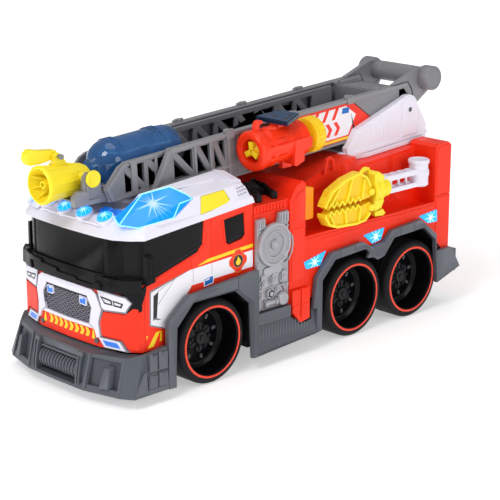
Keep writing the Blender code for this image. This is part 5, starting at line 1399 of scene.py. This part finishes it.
def launcher():
    """Red dart launcher: muzzle ring, barrel bands, hook, clamp, sight and the yellow plunger."""
    profile = [(8.5, -1.4), (8.9, -0.9), (10.2, -0.9), (10.4, 0), (12.8, 0), (13.8, -0.8),
               (14.3, -2.4), (14.3, -7.4)]
    profile += [(13.6, -8.6), (12.9, -9)]
    profile += [(12.9, -11.4), (13.6, -11.8), (13.9, -12.8), (13.9, -15.4), (13, -16.4), (12.8, -30),
                (13.4, -30.4)]
    profile += [(13.4, -32.4), (12.8, -32.8), (12.8, -41.6), (13.4, -42.2), (13.4, -47.4),
                (12.6, -48.5), (6, -48.5)]
    profile += [(6, -40.5), (8.5, -40.5)]
    parts = [on_barrel(lathe(profile, steps=84))]
    for angle in (25, 155, 205, 335):
        lug = hull([(11.5, -2, -1), (11.5, 2, -1), (14.3, -1.6, -2.6), (14.3, 1.6, -2.6),
                    (11.5, -2, -28), (11.5, 2, -28), (14.2, -1.4, -24), (14.2, 1.4, -24)])
        parts.append(on_barrel(lug, math.radians(angle)))
    hook = [(-28, 162), (-28.2, 167.6), (-26.8, 170.6), (-24.2, 171.4), (-20.6, 170.6), (-20.4, 168.6),
            (-23.2, 168.2)]
    hook += [(-23.8, 166), (-23, 162)]
    parts.append(prism(hook, (41, 44.2), "X"))
    for y in (-17.4, -12.4):
        parts.append(rod((44.6, y, 162.4), 3.4, 5.4, "X", 28))
    parts.append(prism([(-20.4, 160), (-20.4, 163.4), (-9.4, 163.8), (-8.6, 160)], (41.9, 47.3), "X"))
    parts.append(prism([(-8, 160), (-8, 166.8), (6, 169.1), (6, 160)], (38.5, 46.5), "X"))
    parts.append(prism([(-15, 145), (-15, 155), (14, 157), (14, 147)], (27.4, 34.5), "X"))
    parts.append(prism([(-29, 150), (-29, 153.4), (-1, 155.2), (-1, 151.6)], (54.2, 56.3), "X"))
    plate = [(-1, 146), (-1, 155.6), (14.2, 156.6), (16.2, 155), (16.2, 148.6), (9, 147.2)]
    parts.append(prism(plate, (50, 56.9), "X"))
    parts.append(prism([(-0.8, 137.4), (-0.8, 147), (9, 147.4), (9, 139.6), (1.4, 136.8)],
                       (53.2, 56.3), "X"))
    parts.append(prism([(-1, 133.5), (-1, 143), (11, 144), (11, 140), (8, 133.5)], (40.2, 44.4), "X"))
    parts.append(prism([(0.6, 137.4), (0.6, 143), (8.6, 144), (8.6, 139.6)], (44, 54), "X"))
    show(parts, "launcher_shell", ORANGE, "ladder", "launcher_body", bevel=0.35, angle=34)
    screws = []
    for z in (-22, -39):
        a = math.radians(-28)
        screws.append(on_barrel(rod((12.7 * math.cos(a), 12.7 * math.sin(a), z), 1.5, 1.4,
                                    (math.cos(a), math.sin(a), 0), 20)))
    show(screws, "launcher_screws", HUB, "ladder", bevel=0.2)

    knob = [(0, -44.7), (5.4, -44.7), (5.4, -54.7), (11.4, -54.7), (12.6, -55.3), (12.8, -56.6),
            (12.2, -57.4)]
    knob += [(12.2, -59.2), (12.9, -59.8), (12.9, -63.6), (12, -65.2), (10.6, -65.9), (8.6, -65),
             (0, -65)]
    parts = [on_barrel(lathe(knob, steps=72))]
    for i in range(12):
        rib = box((11.6, -0.9, -64.2), (12.95, 0.9, -55.7))
        parts.append(on_barrel(rib, math.radians(30 * i)))
    show(parts, "plunger_knob", AMBER_YELLOW, "plunger", "launcher_plunger", bevel=0.25, angle=34)
    body = lathe([(0, -3.4), (2.2, -3.4), (4.6, -5.6), (7.1, -7.4), (7.1, -14), (5, -16), (5, -38.4),
                  (0, -38.4)], steps=48)
    parts = [on_barrel(body)]
    for i in range(3):
        lobe = hull([(0.6, -1.9, -7), (0.6, 1.9, -7), (6.9, -2.4, -7), (6.9, 2.4, -7),
                     (0.9, -1.7, -1.2), (0.9, 1.7, -1.2), (6.6, -2.2, -1.3), (6.6, 2.2, -1.3)])
        parts.append(on_barrel(lobe, math.radians(90 + 120 * i)))
    show(parts, "dart_body", AMBER_YELLOW, "missile", "dart", bevel=0.45, angle=34)

    sight = cad_copy("launcher_sight", "sight_case")
    show(sight, "sight_case", NAVY, "ladder", "launcher_sight", bevel=0.7, segments=3)
    lean = Matrix.Translation((42.5, -1.35, 171.7)) @ Matrix.Rotation(math.atan(3 / 18.3), 4, "X")
    rims = [[(-13.6, -7.8), (13.6, -7.8), (8.2, 7.8), (-8.2, 7.8)]]
    marks = []
    for outline in rims:
        closed = outline + outline[:2]
        marks += [prism(stroke(closed[i:i + 2], 0.5), (-0.3, 0.12), "Z") for i in range(4)]
    for x, y in ((-5, 0.6), (0, 0), (5, -0.6)):
        marks.append(lathe([(1.3, -0.3), (1.9, -0.3), (1.9, 0.2), (1.3, 0.2)], "Z", (x, y, 0), 24))
    for x, y, width in ((-6, -5, 5), (4, -5.4, 6), (0, 5.2, 9)):
        marks.append(box((x - width / 2, y - 0.35, -0.3), (x + width / 2, y + 0.35, 0.12)))
    marks = [shift(mark, lean) for mark in marks]
    show(marks, "sight_marks", PRINT_NAVY, "ladder", bevel=0.1, segments=1)


# ---- turntable and rescue tool --------------------------------------------------------------
def turntable():
    """White ladder mount: panel lines, raised ribs, pivot bulge and rear fin on each cheek."""
    mount = cad_copy("turntable", "turntable_shell")
    show(mount, "turntable_shell", WHITE, "turret", "turntable", bevel=0.9, segments=3, angle=28)
    parts = []
    x = 32.1
    panel = [(86, 128.8), (84.6, 134), (90.2, 142.6), (140.6, 160.8), (140.6, 132.4)]
    parts.append(prism(panel, (x - 0.6, x + 0.45), "X"))
    for i in range(4):
        y = 109 + i * 4
        top = 144.6 + i * 1.2
        parts.append(prism([(y, 135.2), (y, top), (y + 1.6, top + 0.5), (y + 1.6, 135.4)],
                           (x, x + 0.95), "X"))
    parts.append(prism([(101.4, 131), (101.4, 145.8), (102.4, 146.2), (102.4, 131)], (x, x + 0.9), "X"))
    arc = [(148.5 + 9.4 * math.sin(math.radians(d)),
            154 + 9.4 * math.cos(math.radians(d))) for d in range(-60, 91, 10)]
    parts.append(prism([(139.6, 133.4)] + arc + [(158, 134.4)], (x - 0.6, x + 1.4), "X"))
    parts.append(prism([(160, 132.6), (160, 151.6), (162.6, 150.2), (169, 141.4), (169, 132.4)],
                       (x - 0.6, x + 0.4), "X"))
    parts.append(prism([(80.4, 126.8), (80.4, 129.4), (170, 135), (170, 132.4)], (x - 0.6, x + 1.6),
                       "X"))
    parts.append(rod((x + 1.2, 148.5, 154), 3.4, 1.4, "X", 32))
    show(both(parts), "cheek_panels", WHITE, "turret", bevel=0.5, segments=2, angle=28)
    show(both(rod((x + 1.75, 148.5, 154), 1.9, 0.7, "X", 28)), "pivot_screws", LUG, "turret", bevel=0.2)
    nose = [box((-27, 79.4, 127.2), (27, 81, 130))]
    for sign in (1, -1):
        nose.append(rod((sign * 27.6, 76.9, 128.2), 2, 5, "X", 24))
        nose.append(box((min(sign * 26, sign * 30), 77, 125.6), (max(sign * 26, sign * 30), 84, 129.6)))
    show(nose, "turntable_nose", WHITE, "turret", bevel=0.5)


def tool_plate(name, outline, holes, body, node_name, edge):
    """A jaw plate with a raised rim, sunken fields between ribs and a toothed edge."""
    plate = prism(outline, (58.4, 64.2), "X")
    show(plate, name, AMBER_YELLOW, body, node_name, bevel=0.5, angle=30)
    rim = stroke(edge, 1.9)
    parts = [prism(rim, (58, 66.4), "X")]
    for hole in holes:
        parts.append(prism(stroke(hole, 1.5), (63.8, 66.2), "X"))
    show(parts, name + "_rim", YELLOW, body, bevel=0.45, angle=30)


def teeth(start, end, height, rise, count):
    step = (end - start) / count
    points = []
    for i in range(count):
        points += [(start + i * step, height), (start + (i + 0.5) * step, height + rise)]
    return points + [(end, height)]


def rescue_tool():
    """Yellow spreader head with ribbed jaws and trigger, on the white twin-beam arm."""
    line = 102.1
    upper_edge = teeth(24, 58, line + 0.2, 3.4, 6)
    upper = upper_edge + [(70, 103.8), (74.2, 108), (70, 112.2), (65, 120.5), (57, 125), (42, 122.2)]
    upper += [(27, 115.5), (20.5, 106.5)]
    upper_rim = [(20.9, 104.4), (22.2, 107.4), (27.8, 114.8), (42.4, 121.2), (56.6, 123.8),
                 (64, 119.8), (69, 112.4)]
    fields = [[(28, 106), (36, 117)], [(44, 105.4), (49, 121.6)], [(60, 104.8), (62.4, 119)]]
    tool_plate("upper_jaw_plate", upper, fields, "moving_jaw", "upper_jaw", upper_rim)
    lower_edge = teeth(24, 58, line - 3.2, 3, 6)
    lower = lower_edge + [(70, 100.4), (74.2, 96.2), (70, 92), (64, 87), (54, 85.8), (33, 87.2)]
    lower += [(24, 90.5), (20, 97)]
    lower_rim = [(21, 99.6), (21.2, 97), (25, 91.6), (33.4, 88.4), (54, 87), (63.4, 88), (69, 92.6)]
    fields = [[(26, 98.6), (31, 89.4)], [(42, 98.8), (43.6, 88.6)], [(58, 99), (57, 88)]]
    tool_plate("lower_jaw_plate", lower, fields, "rescue_tool", "lower_jaw", lower_rim)
    edges = (("upper", upper_edge, 1, "moving_jaw"), ("lower", lower_edge, -1, "rescue_tool"))
    for name, edge, side, body in edges:
        inner = [(y, z + side * 0.2) for y, z in edge]
        outer = [(y, z + side * 1.9) for y, z in edge]
        rim = prism(inner + outer[::-1], (59, 66.4), "X")
        show(rim, f"{name}_jaw_teeth", YELLOW, body, bevel=0.2)
    pins = [rod((62.2, 70, z), 2.6, 8.9, "X", 28) for z in (108, 96.2)]
    show(pins, "jaw_pins", YELLOW, "rescue_tool", bevel=0.4)
    parts = []
    collar = [(0, 0), (9.4, 0), (10.6, 1), (10.6, 4), (9.6, 5), (9.6, 7), (10.2, 7.8), (10.2, 10),
              (9.2, 10.9), (0, 10.9)]
    ring = lathe(collar, "Y", (56.7, 74.8, 106.8), 56)
    parts.append(ring)
    parts.append(lathe([(0, 0), (6.6, 0), (7.2, 0.8), (7.2, 9), (6.4, 10), (0, 10)], "Y",
                       (57.2, 84.6, 106.4), 44))
    parts.append(prism([(75, 113), (75, 119.6), (79.6, 121.4), (85.4, 117.4), (85.4, 112)], (52, 64.4),
                       "X"))
    parts.append(prism([(75, 92), (75, 100), (85.4, 100), (85.4, 98), (83, 93.6)], (53, 64.4), "X"))
    show(parts, "spreader_head", YELLOW, "rescue_tool", "tool_head", bevel=0.5, angle=34)
    path = [(66.6, 117.4), (68.4, 121.6), (72, 123.6), (76, 122.6), (77.6, 119.6), (76.6, 117)]
    loop = tube([(56.2, y, z) for y, z in path], 1.4, sides=16)
    show(loop, "head_loop", YELLOW, "rescue_tool")
    trigger = cad_copy("tool_trigger", "trigger_lever")
    show(trigger, "trigger_lever", YELLOW, "trigger", "tool_trigger", bevel=0.6, segments=3)

    beams = []
    for low, high in ((101, 104.5), (110.5, 114)):
        beam = box((51.7, 90, low), (60.3, 129, high))
        for i in range(4):
            cut(beam, rod((56, 98 + i * 8.6, (low + high) / 2), 3.2, 12, "Z", 32))
        beams.append(beam)
    for i in range(4):
        beams.append(rod((56, 93.7 + i * 8.6, 107.5), 1, 7.4, "Z", 24))
        beams.append(lathe([(3.2, -0.3), (4.2, -0.3), (4.2, 0.5), (3.2, 0.5)], "Z",
                           (56, 98 + i * 8.6, 114), 32))
    beams.append(rod((56, 128.4, 107.5), 1.8, 13, "Z", 24))
    cup = [(5.4, 109), (0, 108), (0, 100.6), (6.6, 100.6), (7.6, 101.4), (7.6, 108), (8.1, 109),
           (8.1, 112.6)]
    cup += [(7.3, 113.6), (7.3, 117.4), (8.2, 118.4), (8.2, 120.4), (7.4, 121.1), (6.2, 120.8),
            (5.6, 119.4)]
    beams.append(lathe(cup, "Z", (56, 134, 0), 64))
    beams.append(lathe([(1.4, 107), (2.9, 107), (2.9, 117.4), (2.4, 118), (1.4, 118)], "Z",
                       (56, 134, 0), 32))
    show(beams, "arm_beams", WHITE, "rescue_tool", "tool_arm", bevel=0.35, angle=34)

    # The rest's orange is partly painted shade from the jaws in front of it.
    rest = cad_copy("tool_rest", "rest_block")
    show(rest, "rest_block", AMBER, "body", "tool_rest", bevel=0.9, segments=3)
    clip = cad_copy("deck_clip", "fork_clip")
    show(clip, "fork_clip", BLACK, "body", "deck_clip", bevel=0.5)
    steps = [tube([(30, -14.4, 123.2), (40, -15, 123), (50, -19.4, 121.6), (56, -21.8, 120.8)], 1.9,
                  sides=14),
             tube([(32, -26, 123), (42, -31.4, 122.2), (50, -34.2, 121.2), (56.2, -36.4, 120.4)], 1.9,
                  sides=14),
             hull([(24, -18, 120), (24, -13.6, 120), (29, -16.8, 125.6), (29, -13.2, 126),
                   (33, -17.6, 122),
                   (33, -13.6, 122), (26, -14, 125.4)])]
    steps += [hull([(26 + i * 3, -23 - i * 1.6, 121), (28.2 + i * 3, -24.2 - i * 1.6, 121),
                    (33 + i * 3, -16 - i * 1.6, 121), (30.8 + i * 3, -15 - i * 1.6, 121),
                    (27.4 + i * 3, -22.4 - i * 1.6, 124.6),
                    (31.6 + i * 3, -16.6 - i * 1.6, 124.6)]) for i in range(4)]
    show(steps, "fork_steps", BLACK, bevel=0.3)


# Pale glowing lines along the beacon's ridges: painted highlights on its edges.
BEACON_EDGE_HIGHLIGHT = lens("Beacon edge", (0.35, 0.85, 0.95), (0.25, 0.8, 0.95), 0.6, clear=0.2)
# The water glows faintly though nothing lights it: painted light.
WATER = lens("Water", (0.03, 0.22, 0.55), (0, 0.05, 0.14), 0.08, clear=0.35, rough=0.03)
AMBER_YELLOW = plastic("Amber yellow plastic", "yellow", (0.95, 0.6, 0.01), 0.33)
PRINT_NAVY = plastic("Printed blue-grey", "blue_lens", (0.03, 0.14, 0.34), 0.25, vary=0.3, edge_highlight=0)


def paint_cad():
    """Every CAD node that stays visible gets a finished material and rounded edges."""
    groups = (
        (BLACK, "chassis battery_door windshield deck_clip left_mirror right_mirror"),
        (BLACK, "left_rear_window right_rear_window"),
        (CELL, "battery_1 battery_2"),
        (BOARD, "circuit_board"),
        (STEEL, "speaker front_axle middle_axle rear_axle ladder_pin"),
        (FENDER_GREY, "front_bumper left_skirt right_skirt rear_bumper"),
        (RED, "cab_shell rear_body"),
        (WHITE, "cab_roof turntable tool_arm"),
        (YELLOW, "sound_button water_nozzle pump_lever launcher_plunger dart"),
        (YELLOW, "tool_head upper_jaw lower_jaw tool_trigger"),
        (SILVER, "left_pump_panel right_pump_panel left_hose_reel right_hose_reel"),
        (AMBER, "tool_rest"),
        (LADDER_GREY, "ladder_base carry_handle ladder_extension"),
        (ORANGE, "launcher_body"),
        (NAVY, "launcher_sight"),
        (BEACON, "left_beacon right_beacon roof_lamps"),
        (BOTTLE, "water_bottle"),
    )
    looks = {name: material for material, names in groups for name in names.split()}
    for name, part in NODES.items():
        material = looks.get(name) or (TYRE if name.endswith("tyre") else RIM)
        part.data.materials.clear()
        part.data.materials.append(material)
        if part.hide_render:
            continue
        weld = part.modifiers.new("Weld", "WELD")
        weld.merge_threshold = WELD
        rounding = part.modifiers.new("Rounded edges", "BEVEL")
        rounding.width = 0.35 * MM
        rounding.segments = 2
        rounding.limit_method = "ANGLE"
        rounding.angle_limit = math.radians(32)
        rounding.harden_normals = True
        part.data.shade_smooth()


BEACON = lens("Beacon lens", (0.02, 0.35, 0.85), (0, 0.22, 0.75), 0.9)
# The bottle glows faintly though it holds no lamp: painted light.
BOTTLE = lens("Bottle", (0.2, 0.52, 0.85), (0, 0.06, 0.2), 0.1, clear=0.92, rough=0.02)


# ---- studio ---------------------------------------------------------------------------------
def studio():
    world = bpy.data.worlds.new("Studio")
    SCENE.world = world
    world.use_nodes = True
    world.node_tree.nodes["Background"].inputs["Color"].default_value = (1, 1, 1, 1)
    world.node_tree.nodes["Background"].inputs["Strength"].default_value = WORLD_STRENGTH

    bm = bmesh.new()
    bmesh.ops.create_circle(bm, cap_ends=True, segments=64, radius=FLOOR_RADIUS)
    floor = put(bm, "floor")
    material, tree, shader = new_material("Pale floor")
    coords = tree.nodes.new("ShaderNodeTexCoord").outputs["Object"]
    tone = ramp(tree, noise(tree, coords, 3), [(0.3, (0.84, 0.84, 0.845)), (0.7, (0.87, 0.87, 0.875))])
    tree.links.new(tone, shader.inputs["Base Color"])
    shader.inputs["Roughness"].default_value = 0.85
    shader.inputs["Emission Color"].default_value = (1, 1, 1, 1)
    # The floor glows less near the truck and more far off: a painted shade round the truck, on top of
    # the real shadows.
    reach = node(tree, "ShaderNodeVectorMath", operation="LENGTH")
    tree.links.new(coords, reach.inputs[0])
    tree.links.new(spread(tree, reach.outputs["Value"], 0.25, 1.3, 0.42, 0.95),
                   shader.inputs["Emission Strength"])
    floor.data.materials.append(material)

    lamps = (  # name, place, target, size, power
        ("key", (300, -900, 1100), (0, 0, 60), 500, 6),
        ("side", (1300, 100, 500), (0, 0, 80), 700, 4.6),
        ("top", (0, 100, 1300), (0, 0, 0), 900, 3.2),
        ("front", (-500, -1300, 500), (0, 0, 60), 600, 3.6),
    )
    for name, where, target, size, power in lamps:
        light = bpy.data.lights.new(name, "AREA")
        light.shape = "DISK"
        light.size = size * MM
        light.energy = power
        lamp = bpy.data.objects.new(name, light)
        SCENE.collection.objects.link(lamp)
        lamp.location = Vector(where) * MM
        aim = (Vector(target) - Vector(where)).normalized()
        lamp.rotation_euler = aim.to_track_quat("-Z", "Y").to_euler()


def camera():
    """A long lens from ahead of the left front corner, a little above."""
    data = bpy.data.cameras.new("camera")
    data.lens = 114.78
    data.sensor_width = 36
    data.clip_start = 0.02
    data.clip_end = 60
    eye = bpy.data.objects.new("camera", data)
    SCENE.collection.objects.link(eye)
    eye.location = (0.81582, -0.77995, 0.39099)
    back = Vector((0.69, -0.668, 0.278)).normalized()
    eye.rotation_euler = (-back).to_track_quat("-Z", "Y").to_euler()
    SCENE.camera = eye


cab_shell()
cab_front()
cab_side()
glazing()
bumper()
skirts()
wheels()
pump_panel()
rear_body()
tail()
roof()
ladder_outer()
handle()
ladder_inner()
bottle()
nozzle()
launcher()
turntable()
rescue_tool()
paint_cad()
studio()
camera()
